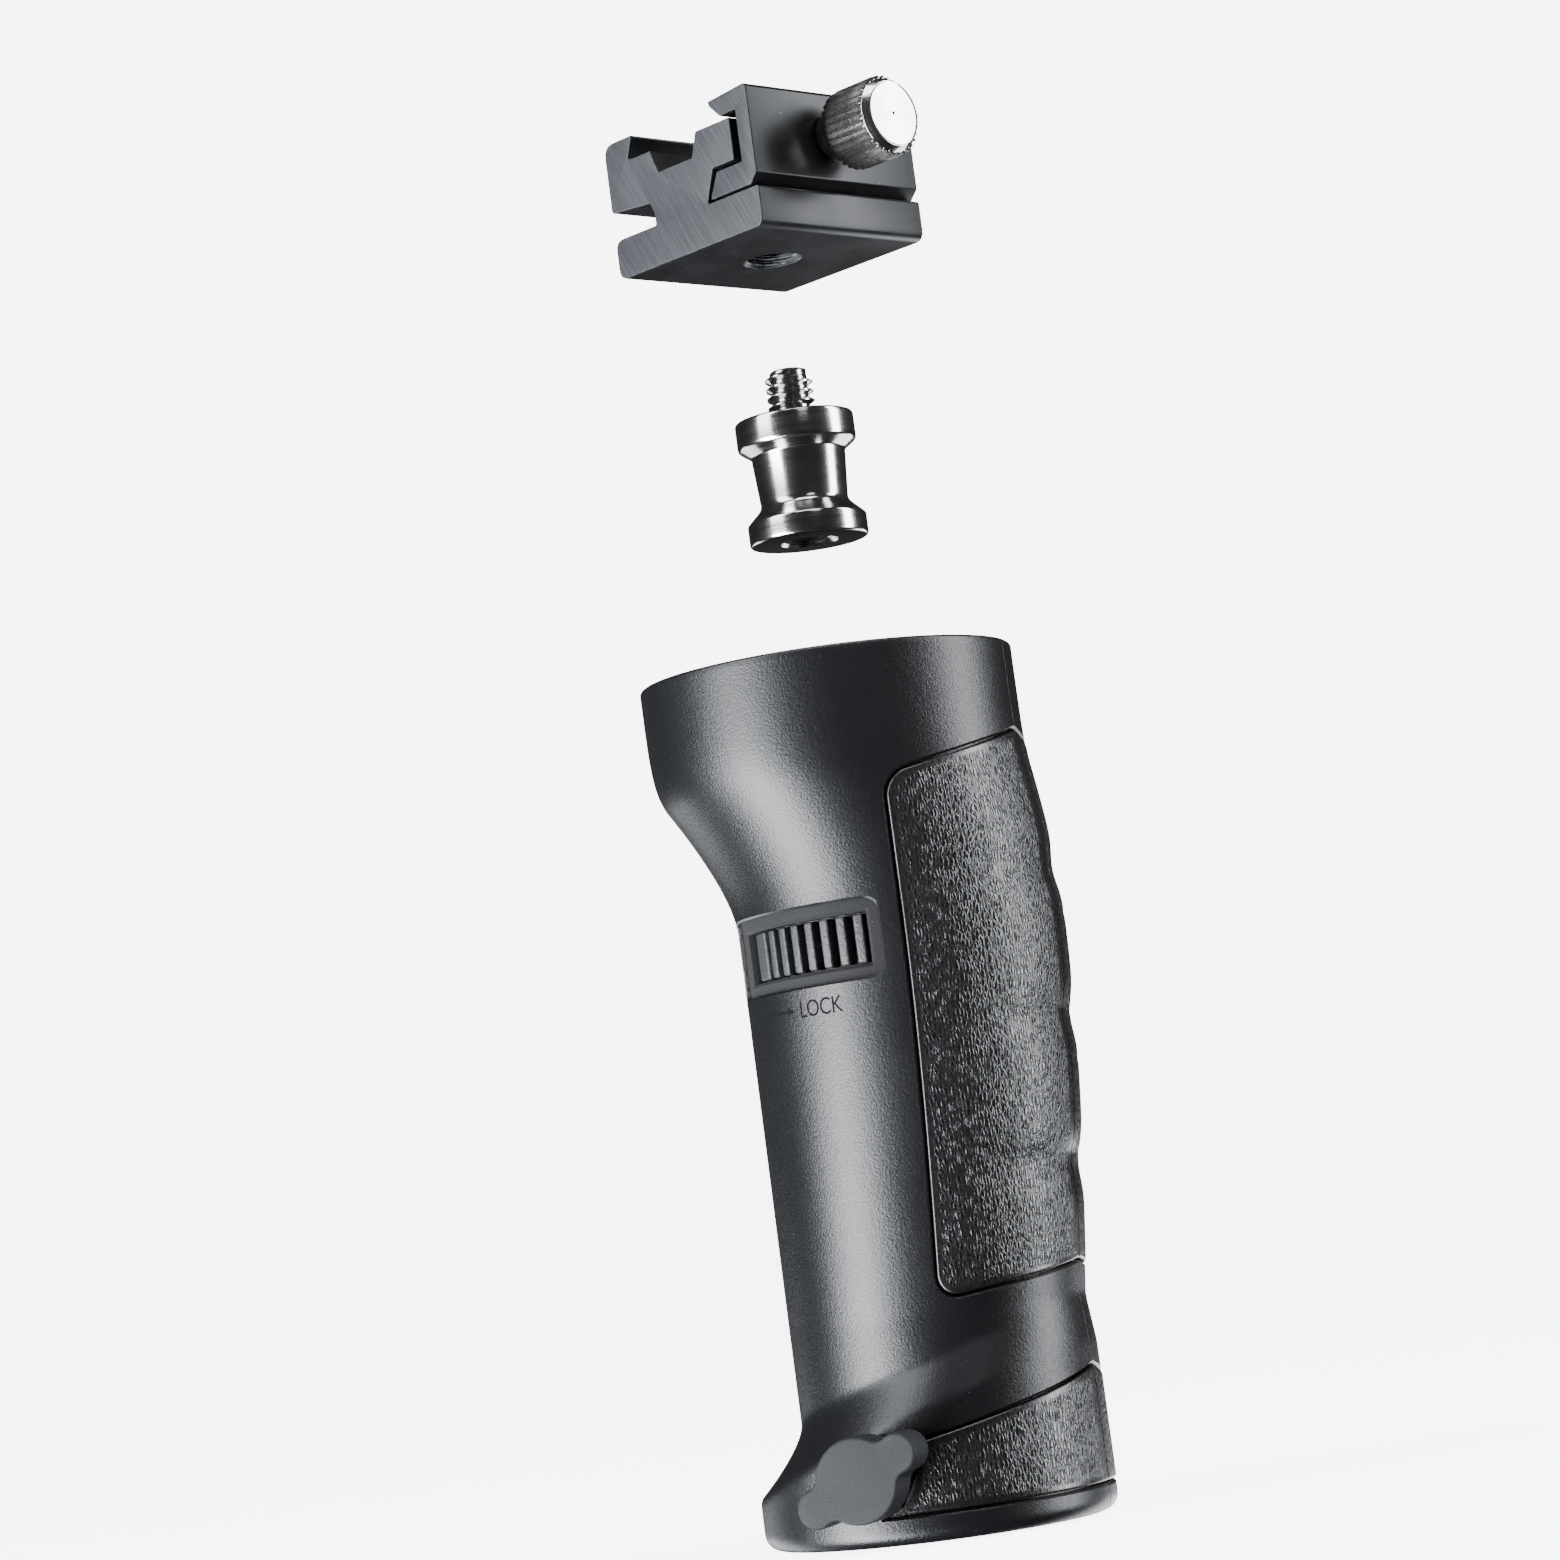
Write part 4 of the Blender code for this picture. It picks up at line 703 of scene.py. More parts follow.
shell = {
    "wall": 0.0022, "footRound": 0.002, "rimRound": 0.0005, "seamRound": 0.00006, "columns": 104,
    "rowStep": 0.0006, "over": 0.001, "outside": 0.03,   # how far cutters stand out, and a place past all
    "capLip": 0.0034, "capLipHeight": 0.0024, "baseLip": 0.0042, "baseLipHeight": 0.0037,
    "lipChamfer": 0.0003, "padDepth": 0.0012, "padGap": 0.0003, "edgeChamfer": 0.0003, "padOver": 0.0015,
    "mouthOver": 0.0004, "pastSeam": 0.0005, "knobWall": 0.0226, "knobHole": 0.0052, "clampHeight": 0.009,
    "window": (radians(-151), radians(-83)), "windowFoot": 0.0724, "windowHeight": 0.0066,
    "recessBorder": 0.0017, "recessDepth": 0.0007, "recessStart": radians(-158), "recessCorner": 0.0008,
    "recessLevels": (0.0003, 0.0012), "mouthRound": 0.00025, "windowRound": 0.0006, "windowRadius": 0.02,
    "ledgeTop": 0.0689, "ledgeHeight": 0.0016, "ledgeRadius": 0.0152,
}
screw = {
    "places": ((0.0146, 0.0239), (-0.0058, 0.054), (0.015748, 0.054), (0.0157, 0.0992)), "boss": 0.0036,
    "bore": 0.0015, "sink": 0.0027, "seat": 0.0095, "headRadius": 0.0024, "headHeight": 0.0016,
    "shaft": 0.0012, "length": 0.015, "gap": 0.0003, "boreStart": -0.01, "crossWidth": 0.0007,
    "crossSpan": 0.0029, "crossDepth": 0.0009,
}
pads = {
    "span": radians(70), "top": (0.1008, 0.0956), "topRight": (0.1008, 0.0942), "foot": (0.0323, 0.0297),
    "corner": 0.003, "ease": 0.94, "plainBorder": (0.0006, 0.0005), "plainSeam": (0.0012, 0.0006),
    "bandSpan": radians(88), "bandFoot": 0.0039, "bandTop": (0.0186, 0.0114),
    "proud": 0.0001, "round": 0.0003, "seamSharp": 3, "columnStep": 0.0009, "rowStep": 0.0007,
    "edgeSteps": (0.0, 0.00003, 0.0001, 0.0002, 0.0003, 0.0006, 0.001),
}


def shellRows():
    # (height, inset) from the rounded foot to the rounded rim
    foot, rim = shell["footRound"], shell["rimRound"]
    high = form["height"] - rim
    count = round((high - foot) / shell["rowStep"])
    return ([(foot * (1 - cos(t)), foot * (1 - sin(t))) for t in quarterTurns(0, 8)]
            + [(between(foot, high, i / count), 0.0) for i in range(1, count + 1)]
            + [(high + rim * sin(t), rim * (1 - cos(t))) for t in quarterTurns(1, 4)])


def halfSolid(name, side):
    # half of the solid handle, with its edges at the parting plane rounded
    soft = shell["seamRound"]
    seam = [(form["partingGap"] / 2 + soft * (1 - cos(t)), soft * (1 - sin(t)))
            for t in quarterTurns(0, 4)]
    rings = []
    for height, inset in shellRows():
        ring = []
        for away, loss in seam:
            point = skin(side * away / form["gripRadius"], height, inset + loss)
            ring.append((point.x, axisY + side * away, height))
        for i in range(1, shell["columns"]):
            ring.append(skin(side * pi * i / shell["columns"], height, inset))
        for away, loss in reversed(seam):
            point = skin(side * (pi - away / form["gripRadius"]), height, inset + loss)
            ring.append((point.x, axisY + side * away, height))
        rings.append(ring)
    return loft(name, rings)


def roundRing(height, radius):
    middle, steps = axisX + form["gripShift"], form["ringSteps"]
    turns = [tau * i / steps for i in range(steps)]
    return [(middle + radius * cos(t), axisY + radius * sin(t), height) for t in turns]


def makeCavity():
    # the hollow inside, with the steps that hold cap and base plate, less the posts of the case screws
    over, chamfer, pitch = shell["over"], shell["lipChamfer"], 0.0015
    top, capStep = form["height"], form["height"] - shell["capLipHeight"]
    ledgeTop, ledgeFoot = shell["ledgeTop"], shell["ledgeTop"] - shell["ledgeHeight"]
    rings = [skinRing(-over, shell["baseLip"] - chamfer - over), skinRing(chamfer, shell["baseLip"]),
             skinRing(shell["baseLipHeight"], shell["baseLip"])]

    def wallRings(low, high):
        count = round((high - low) / pitch)
        return [skinRing(between(low, high, i / count), shell["wall"]) for i in range(count + 1)]

    rings += wallRings(shell["baseLipHeight"], ledgeFoot)
    rings += [roundRing(height, shell["ledgeRadius"]) for height in (ledgeFoot, ledgeTop)]
    rings += wallRings(ledgeTop, capStep)
    rings += [skinRing(capStep, shell["capLip"]), skinRing(top - chamfer, shell["capLip"]),
              skinRing(top + over, shell["capLip"] - chamfer - over)]
    far = shell["outside"]
    posts = [rodAlong("post", screw["boss"], -far, far, (x, z, fromKnob), 48) for x, z in screw["places"]]
    return carved(loft("cavity", rings), posts)


def rodAlong(name, radius, low, high, place, steps, chamfer=0.0):
    # a rod across the handle along Y, wider past its mouth where a chamfer is asked for
    profile = [(0, low), (radius, low), (radius, high - chamfer)]
    if chamfer:
        profile.append((radius + chamfer * 2, high + chamfer))
    profile.append((0, profile[-1][1]))
    x, height, direction = place
    return moved(turned(name, profile, steps), Matrix.Translation((axisX + x, axisY, height)) @ direction)


towardsKnob = Matrix.Rotation(radians(90), 4, "X")
fromKnob = Matrix.Rotation(radians(-90), 4, "X")


def padSize(kind):
    # span and corner radius of a grip pad or of half the band
    return (pads["span"], pads["corner"]) if kind == "grip" else (pads["bandSpan"], 0.0)


def padEdges(kind, grow=0.0):
    # gives the lowest and highest of a pad at an angle, grown by an amount
    span = padSize(kind)[0]

    def edges(angle):
        share = abs(angle) / span
        if kind == "grip":
            top = pads["top"] if angle < 0 else pads["topRight"]   # lower on the right, under a case screw
            return between(*pads["foot"], share) - grow, between(*top, share) + grow
        return pads["bandFoot"] - grow, between(*pads["bandTop"], share) + grow
    return edges


def windowEdges(grow):
    return lambda angle: (shell["windowFoot"] - grow, shell["windowFoot"] + shell["windowHeight"] + grow)


def spread(low, high, steps, edgeSteps):
    # levels between two ends, closer together near them
    inner = edgeSteps[-1]
    return ([low + e for e in edgeSteps[:-1]]
            + [between(low + inner, high - inner, i / steps) for i in range(steps + 1)]
            + [high - e for e in reversed(edgeSteps[:-1])])


def columnsFor(span, corners, steps, edgeSteps):
    # (angle, how far its ends draw in) for the columns of a patch with rounded corners
    start, end = span
    radius = form["gripRadius"]
    angles = set(spread(start, end, steps, [e / radius for e in edgeSteps]))
    for corner, turn, way in zip(corners, span, (1, -1)):
        if corner:
            angles |= {turn + way * corner / radius * (1 - cos(t)) for t in quarterTurns(1, 10)[:-1]}
    found = []
    for angle in sorted(angles):
        inward = 0.0
        for corner, reach in zip(corners, (angle - start, end - angle)):
            away = reach * radius
            if corner and away < corner:
                inward = corner - sqrt(max(0.0, corner ** 2 - (corner - away) ** 2))
        found.append((angle, inward))
    return found


def patchSolid(name, layers, columns, rows, warp=None):
    # a cutter that follows the skin between an outer and an inner layer: (span, edges, inset, corners) each
    edgeSteps = (0.0, 0.0004)
    grids = []
    for span, edges, inset, corners in layers:
        grid = []
        for angle, inward in columnsFor(span, corners, columns, edgeSteps):
            low, high = edges(angle)
            levels = spread(low + inward, high - inward, rows, edgeSteps)
            grid.append([skin(warp(angle, h) if warp else angle, h, inset) for h in levels])
        grids.append(grid)
    return sheet(name, *grids)


def pocketTool(name, side, kind):
    # a pocket with straight walls, and a chamfer at its mouth
    gap, chamfer, over, radius = shell["padGap"], shell["edgeChamfer"], shell["mouthOver"], form["gripRadius"]
    span, corner = padSize(kind)
    past = shell["pastSeam"] / radius + gap / radius
    steps = (26, 90, eased) if kind == "grip" else (34, 16)
    made = []
    for label, outer, inner in (("wall", (gap, -shell["padOver"]), (gap, shell["padDepth"])),
                                ("mouth", (gap + chamfer + over, -over), (gap, chamfer))):
        layers = []
        for grow, inset in (outer, inner):
            far, rounded = span + grow / radius, corner + grow if corner else 0.0
            reach, corners = ((-far, past), (rounded, 0)) if side < 0 else ((-past, far), (0, rounded))
            layers.append((reach, padEdges(kind, grow), inset, corners))
        made.append(patchSolid(name + label, layers, *steps))
    return made


def windowTools():
    # the window's sunk border, the border's soft rim, the window and the window's soft rim
    border, depth, corner = shell["recessBorder"], shell["recessDepth"], shell["recessCorner"]
    over, soft, lip, radius = shell["over"], shell["mouthRound"], shell["windowRound"], shell["windowRadius"]
    start, end = shell["window"]
    farStart, farEnd = shell["recessStart"], end + border / form["gripRadius"]
    opening, openEdges = (start, end), windowEdges(0)
    sunk, sunkEdges, sunkCorners = (farStart, farEnd), windowEdges(border), (corner, border)
    wider = (farStart - soft / radius, farEnd + 2 * soft / radius)
    looser = (start - lip / radius, end + lip / radius)
    return [patchSolid(name, layers, *steps) for name, steps, *layers in (
        ("recessTool", (50, 10), (sunk, sunkEdges, -over, sunkCorners),
         (sunk, sunkEdges, depth, sunkCorners)),
        ("recessMouth", (50, 10), (wider, windowEdges(border + 2 * soft), -soft, (corner, border + soft)),
         (sunk, sunkEdges, soft, sunkCorners)),
        ("windowTool", (44, 6), (opening, openEdges, -over, (0, 0)),
         (opening, openEdges, shell["wall"] + over, (0, 0))),
        ("windowLip", (44, 6), (looser, windowEdges(lip), depth - 0.0002, (0, lip)),
         (opening, openEdges, depth + lip * 0.7, (0, 0.0001))))]


def inRecess(point):
    # 1 on the sunk border round the window, which the shell's material darkens as painted shade, 0 elsewhere
    shift, radius = bodySection(point.z)
    x, y = point.x - axisX - shift, (point.y - axisY) / form["sideShare"]
    shallow, deep = shell["recessLevels"]
    sunk = shallow < radius - hypot(x, y) < deep and atan2(y, x) < shell["window"][1] + 0.1
    low, high = windowEdges(shell["recessBorder"] + 0.0001)(0)
    return float(sunk and low < point.z < high)


def makeShells():
    for side, label in ((-1, "left"), (1, "right")):
        piece = halfSolid(label + "Shell", side)
        tools = [makeCavity()]
        if side < 0:
            clamp = (0, shell["clampHeight"], towardsKnob)
            tools.append(rodAlong("knobHole", shell["knobHole"], 0.0, shell["knobWall"], clamp, 64, 0.0002))
        tools += pocketTool("gripPocket", side, "grip") + pocketTool("bandPocket", side, "band")
        if side < 0:
            tools += windowTools()
        else:
            far = shell["outside"]
            for x, height in screw["places"]:
                at = (x, height, fromKnob)
                tools.append(rodAlong("bore", screw["bore"], screw["boreStart"], far, at, 32))
                tools.append(rodAlong("sink", screw["sink"], screw["seat"] - screw["gap"], far, at, 48))
        carved(piece, tools)
        if side < 0:
            # the mask of the sunk border, which the shell's material darkens as painted shade and makes
            # duller
            recess = piece.data.attributes.new("recess", "FLOAT", "POINT")
            recess.data.foreach_set("value", [inRecess(vertex.co) for vertex in piece.data.vertices])
        finished(piece, shellPlastic, "handle", "shell", "shell_" + label)
        print(piece.name, len(piece.data.polygons), "faces")


makeShells()


# rubber pads and lower band

def padDistance(angle, height, span, edges, corner):
    # how far a point of the patch lies from its border, round its corner too
    low, high = edges(angle)
    radius = form["gripRadius"]
    far = (span - abs(angle)) * radius
    near = abs(angle) * radius - form["partingGap"] / 2
    up = min(height - low, high - height)
    if corner and far < corner and up < corner:
        return corner - hypot(corner - far, corner - up), near
    return min(far, up), near


def grainShare(away, plain, run):
    # no grain on the plain strip, and all of it past the run
    return clamped((away - plain) / run)


def makePad(name, side, kind, nodeName):
    span, corner = padSize(kind)
    edges = padEdges(kind)
    start = form["partingGap"] / 2 / form["gripRadius"]
    reach = (-span, -start) if side < 0 else (start, span)
    corners = (corner, 0) if side < 0 else (0, corner)
    steps = round((span - start) * form["gripRadius"] / pads["columnStep"])
    low, high = edges(0)
    rows = round((high - low) / pads["rowStep"])
    inner, outer, masks = [], [], []
    for angle, inward in columnsFor(reach, corners, steps, pads["edgeSteps"]):
        low, high = edges(angle)
        levels = spread(low + inward, high - inward, rows, pads["edgeSteps"])
        turns = [eased(angle, h) if kind == "grip" else angle for h in levels]
        inner.append([skin(turn, h, shell["padDepth"] - shell["padGap"]) for turn, h in zip(turns, levels)])
        outer.append([])
        for turn, h in zip(turns, levels):
            border, seam = padDistance(angle, h, span, edges, corner)
            size, away = pads["round"], max(0.0, min(border, seam * pads["seamSharp"]))
            loss = size - sqrt(size ** 2 - (size - away) ** 2) if away < size else 0.0
            outer[-1].append(skin(turn, h, loss - pads["proud"]))
            masks.append(grainShare(border, *pads["plainBorder"]) * grainShare(seam, *pads["plainSeam"]))
    piece = sheet(name, outer, inner)
    grain = piece.data.attributes.new("grain", "FLOAT", "POINT")
    grain.data.foreach_set("value", masks + [0.0] * len(masks))
    if kind == "band" and side < 0:
        clamp = (0, shell["clampHeight"], towardsKnob)
        radius = shell["knobHole"] + shell["wall"] / 2
        carved(piece, [rodAlong("bandHole", radius, 0, shell["outside"], clamp, 64)])
    finished(piece, gripRubber, "handle", "grip", nodeName, degrees=40)
    print(name, len(piece.data.polygons), "faces")


for padKind, padName, padNode in (("grip", "GripPad", "grip_pad_"), ("band", "FootBand", "foot_pad_")):
    makePad("left" + padName, -1, padKind, padNode + "left")
    makePad("right" + padName, 1, padKind, padNode + "right")


# lettering and arrow under the lock slide, wrapped on the shell

lettering = {
    "text": "LOCK", "size": 0.00215 * 1.42, "spacing": 0.96, "narrow": 0.84, "height": 0.0669,
    "rise": 0.00004, "angle": radians(-112.8), "arrowBack": radians(19.4), "arrowLift": 0.001,
    "shaft": 0.0052, "head": 0.0011, "halfThick": 0.00016, "steps": 16,
}


def wrapped(piece, angle, height):
    # lays a flat shape, drawn in X and Y with its thickness in Z, on the shell
    for vertex in piece.data.vertices:
        x, y, z = vertex.co
        vertex.co = skin(angle + x / bodySection(height + y)[1], height + y, -z)


def makeLettering():
    words = bpy.data.curves.new("lockWord", "FONT")
    words.body, words.size, words.extrude = lettering["text"], lettering["size"], lettering["rise"] / 2
    words.space_character = lettering["spacing"]
    item = linked("lockWord", words)
    mesh = bpy.data.meshes.new_from_object(item)
    bpy.data.objects.remove(item)
    word = moved(linked("lockWord", mesh), Matrix.Diagonal((lettering["narrow"], 1, 1, 1)))
    wrapped(word, lettering["angle"], lettering["height"])
    shaft, head, thick = lettering["shaft"], lettering["head"], lettering["halfThick"]
    steps = lettering["steps"]
    along = [shaft * i / steps for i in range(steps + 1)]
    outline = [(x, -thick) for x in along] + [(shaft, -head / 2), (shaft + head, 0), (shaft, head / 2)]
    outline += [(x, thick) for x in reversed(along)]
    points = [(x, y + lettering["arrowLift"], z) for z in (0, lettering["rise"]) for x, y in outline]
    count = len(outline)
    strips = [[i, i + 1, count - 2 - i, count - 1 - i] for i in range(steps)]
    strips.append([steps + i for i in range(5)])
    faces = strips + [[count + i for i in strip] for strip in strips]
    faces += [[i, (i + 1) % count, count + (i + 1) % count, count + i] for i in range(count)]
    arrow = meshPiece("lockArrow", points, faces)
    wrapped(arrow, lettering["angle"] - lettering["arrowBack"], lettering["height"])
    for piece in (word, arrow):
        finished(piece, letterInk, "handle", "shell", degrees=0)


makeLettering()


# lock slide: a ring with ribs in the shell's window, and the arm that works the clamp shoe

lock = {
    "radius": 0.0181995, "wall": 0.0016, "foot": 0.0712, "height": 0.0098, "armTop": 0.1082,
    "armGap": 0.00003, "ribs": 8, "pitch": radians(6.9), "wide": radians(10.7), "land": 0.55,
    "wideLand": 0.8, "end": radians(-82.6), "ribFoot": 0.0726, "ribTop": 0.0788, "ribReach": 0.0018,
    "ribEdge": 0.00035, "armEdge": 0.0002, "armHalf": radians(30), "turn": radians(6), "camLift": 0.00045,
    "noseHalf": radians(3),
}


def dressedCopies(tree, given, put, points, shape, turn):
    # the end of each tree: copies on the points, made real and given their material
    copies = node(tree, "GeometryNodeInstanceOnPoints", None, Points=points, Instance=shape, Rotation=turn)
    real = node(tree, "GeometryNodeRealizeInstances", None, i0=copies.outputs[0])
    dressed = node(tree, "GeometryNodeSetMaterial", None, i0=real.outputs[0], Material=given["Material"])
    fill(tree, put, Geometry=dressed.outputs[0])
    return tree


def makeRoundCopies():
    # Geometry Nodes: copies of the given shape set round Z
    inputs = (("Geometry", "Geometry"), ("Count", "Int"), ("Start", 0.0), ("Pitch", 0.0), ("Radius", 0.0),
              ("Material", "Material"))
    tree, given, put = newTree("roundCopies", inputs, ("Geometry",), "Geometry")
    line = node(tree, "GeometryNodeMeshLine", None, Count=given["Count"], Offset=(0, 0, 0))
    index = node(tree, "GeometryNodeInputIndex").outputs[0]
    turn = calculated(tree, "MULTIPLY_ADD", index, given["Pitch"], given["Start"])
    x, y = (times(tree, calculated(tree, wave, turn), given["Radius"]) for wave in ("COSINE", "SINE"))
    place = node(tree, "CombineXYZ", None, i0=x, i1=y).outputs[0]
    points = node(tree, "GeometryNodeSetPosition", None, Geometry=line.outputs[0], Position=place).outputs[0]
    facing = node(tree, "CombineXYZ", None, i2=turn).outputs[0]
    return dressedCopies(tree, given, put, points, given["Geometry"], facing)


roundCopies = makeRoundCopies()


def copied(piece, tree, **values):
    # gives the piece the tree's copies, then leaves a plain mesh
    changer = piece.modifiers.new("copies", "NODES")
    changer.node_group = tree
    for item in tree.interface.items_tree:
        if item.in_out == "INPUT" and item.name in values:
            changer[item.identifier] = values[item.name]
    return baked(piece)


def makeLock():
    radius, foot, top = lock["radius"], lock["foot"], lock["foot"] + lock["height"]
    bore, edge = radius - lock["wall"], lock["ribEdge"]
    ring = turned("lockSlide", [(bore, foot), (radius, foot), (radius, top), (bore, top)], 192, looped=True)
    tip, deep = lock["ribReach"], -lock["wall"] / 2

    def rib(name, half):
        outline = softened([(deep, -half), (tip, -half, edge), (tip, half, edge), (deep, half)], edge, 4)
        return prism(name, outline, lock["ribFoot"], lock["ribTop"], edge, 4)

    ribs = rib("slideRibs", lock["pitch"] * lock["land"] * (radius + tip) / 2)
    first = rib("wideRib", lock["wide"] * (radius + tip) / 2 * lock["wideLand"])
    start = lock["end"] - (lock["ribs"] - 1) * lock["pitch"] - lock["wide"]
    copied(ribs, roundCopies, Count=lock["ribs"] - 1, Start=start + lock["wide"] + lock["pitch"] / 2,
           Pitch=lock["pitch"], Radius=radius, Material=slidePlastic)
    moved(first, Matrix.Rotation(start + lock["wide"] / 2, 4, "Z") @ Matrix.Translation((radius, 0, 0)))
    ramp, rampEnd = pi - lock["noseHalf"], pi + lock["noseHalf"] + lock["turn"]
    deeper = lock["camLift"] / lock["turn"] * (rampEnd - ramp)
    armStart, armEnd = pi - lock["armHalf"], pi + lock["armHalf"]
    outline = arcPoints((0, 0), radius - lock["armGap"], armStart, armEnd, 24)
    outline += arcPoints((0, 0), bore + deeper, armEnd, rampEnd, 12)
    outline += arcPoints((0, 0), bore, ramp, armStart, 12)
    arm = prism("camArm", outline, foot + lock["height"] / 2, lock["armTop"], lock["armEdge"])
    carved(ring, [ribs, first, arm], "UNION")
    moved(ring, upright @ Matrix.Translation((form["gripShift"], 0, 0)))
    finished(ring, slidePlastic, "lock_ring", "slide", "lock_ring")
    print("lock slide", len(ring.data.polygons), "faces")


makeLock()


# sockets, cap, base plate and clamp shoe inside the handle

inside = {
    "socket": 0.00815, "liner": 0.0099, "gap": 0.0003, "capTop": 0.1126, "capStep": 0.1103, "capFoot": 0.1085,
    "capCut": 0.1, "plateCut": 0.01, "plateFoot": 0.0004, "plateStep": 0.004, "plateTop": 0.0056,
    "flangeFoot": 0.0692, "flange": 0.0017,
    "guide": 0.0078, "guideRadius": 0.0162995, "spigotFloor": 0.0959, "floor": 0.003, "slotReach": 0.012,
    "shoeHalf": radians(24), "shoeFoot": 0.0985, "shoeHeight": 0.0095, "shoeGap": 0.0001,
    "shoeEdge": 0.0002, "noseHalf": radians(3), "standDepth": 0.0366, "standPlate": 0.0035,
    "boss": 0.0062, "bossStart": 0.009, "bossReach": 0.0196, "bossCut": 0.025, "edge": 0.0003,
}


def plate(name, levels):
    # a plate that follows the handle's inside, from (height, inset) pairs
    return loft(name, [skinRing(height, inset) for height, inset in levels])


def makeCap():
    wall, lip, edge = shell["wall"] + inside["gap"], shell["capLip"] + inside["gap"], inside["edge"]
    foot, step, top, low = inside["capFoot"], inside["capStep"], inside["capTop"], inside["capCut"]
    cap = plate("topCap", [(foot, wall), (step, wall), (step, lip), (top - edge, lip), (top, lip + edge)])
    hole = inside["liner"] + inside["gap"]
    bore = turned("capHole", [
        (0, low), (hole, low), (hole, top - edge), (hole + 2 * edge, top + edge), (0, top + edge)], 96)
    carved(cap, [moved(bore, upright)])
    finished(cap, linerPlastic, "handle", "liner", "top_cap")


def makeBasePlate():
    wall, lip, edge = shell["wall"] + inside["gap"], shell["baseLip"] + inside["gap"], inside["edge"]
    foot, step, top, cut = inside["plateFoot"], inside["plateStep"], inside["plateTop"], inside["plateCut"]
    levels = [(foot, lip + edge), (foot + edge, lip), (step, lip), (step, wall), (top, wall)]
    base = plate("basePlate", levels)
    hole = inside["liner"] + inside["gap"]
    bore = turned("baseHole", [
        (0, -edge), (hole + 2 * edge, foot - edge), (hole, foot + edge), (hole, cut), (0, cut)], 96)
    boss = aimed(rod("bossSlot", inside["boss"] + inside["gap"], 0, inside["bossCut"], 64), *bossOut)
    carved(base, [moved(bore, upright), moved(boss, upright)])
    finished(base, linerPlastic, "handle", "liner", "base_plate")


def makeSpigotSocket():
    foot, flangeTop = inside["flangeFoot"], inside["flangeFoot"] + inside["flange"]
    guide, guideTop = inside["guideRadius"], flangeTop + inside["guide"]
    liner, top, edge = inside["liner"], inside["capTop"], inside["edge"]
    body = turned("spigotLiner", [
        (0, foot), (lock["radius"], foot), (lock["radius"], flangeTop), (guide, flangeTop), (guide, guideTop),
        (0, guideTop)], 128)
    moved(body, Matrix.Translation((form["gripShift"], 0, 0)))
    tube = turned("linerTube", [
        (0, flangeTop), (liner, flangeTop), (liner, top - edge), (liner - edge, top), (0, top)], 96)
    carved(body, [tube], "UNION")
    radius, floor = inside["socket"], inside["spigotFloor"]
    bore = turned("linerBore", [
        (0, floor), (radius, floor), (radius, top - 2 * edge), (radius + 3 * edge, top + edge),
        (0, top + edge)], 96)
    hollow = rod("linerHollow", radius, foot - 0.002, floor - inside["floor"], 96)
    half = inside["shoeHalf"] + inside["gap"] / radius
    outline = arcPoints((0, 0), inside["slotReach"], pi - half, pi + half, 16)
    outline += arcPoints((0, 0), radius / 2, pi + half, pi - half, 8)
    slotTop = inside["shoeFoot"] + inside["shoeHeight"] + inside["gap"]
    slotCut = prism("shoeSlot", outline, inside["shoeFoot"] - inside["gap"], slotTop)
    carved(body, [bore, hollow, slotCut])
    finished(moved(body, upright), linerPlastic, "handle", "liner", "spigot_socket")


def makeClampShoe():
    low, high, edge = inside["socket"] - inside["shoeGap"], inside["liner"], inside["shoeEdge"]
    half, foot, top = inside["shoeHalf"], inside["shoeFoot"], inside["shoeFoot"] + inside["shoeHeight"]
    outline = arcPoints((0, 0), high, pi - half, pi + half, 24)
    outline += arcPoints((0, 0), low, pi + half, pi - half, 24)
    shoe = prism("clampShoe", outline, foot, top, edge)
    reach, noseHalf = lock["radius"] - lock["wall"] - inside["gap"] / 2, inside["noseHalf"]
    nose = arcPoints((form["gripShift"], 0), reach, pi - noseHalf, pi + noseHalf, 8)
    wide = reach * sin(noseHalf)
    nose += [(-(low + high) / 2, -wide), (-(low + high) / 2, wide)]
    carved(shoe, [prism("clampNose", nose, foot, top, edge)], "UNION")
    finished(moved(shoe, upright), zincSteel, "clamp_shoe", "steel", "clamp_shoe")


def makeStandSocket():
    gap, depth, radius, liner = inside["gap"], inside["standDepth"], inside["socket"], inside["liner"]
    foot, edge, reach, cut = inside["plateFoot"], inside["edge"], inside["bossReach"], inside["bossCut"]
    wall, thick = shell["wall"] + gap, inside["standPlate"]
    body = moved(plate("standLiner", [(depth, wall), (depth + thick, wall)]), upright.inverted())
    tubeTop = depth + thick / 2
    tube = turned("standTube", [
        (0, foot), (liner - edge, foot), (liner, foot + edge), (liner, tubeTop), (0, tubeTop)], 96)
    boss = aimed(rod("clampBoss", inside["boss"], inside["bossStart"], reach, 64), *bossOut)
    carved(body, [tube, boss], "UNION")
    bore = turned("standBore", [
        (0, -edge), (radius + 3 * edge, foot - edge), (radius, foot + 2 * edge), (radius, depth),
        (0, depth)], 96)
    padBore = aimed(rod("padBore", clampSet["padRadius"] + gap, 0, cut, 48), *bossOut)
    nutHalf, nutFoot = clampSet["nutAcross"] / 2 + gap, reach - clampSet["nutLength"]
    nutSpace = prism("nutPocket", hexagon(nutHalf), nutFoot, cut)
    carved(body, [bore, padBore, aimed(nutSpace, *bossOut)])
    finished(moved(body, upright), linerPlastic, "handle", "liner", "stand_socket")


def hexagon(flatReach):
    return arcPoints((0, 0), flatReach / cos(pi / 6), 0, tau * 5 / 6, 5)


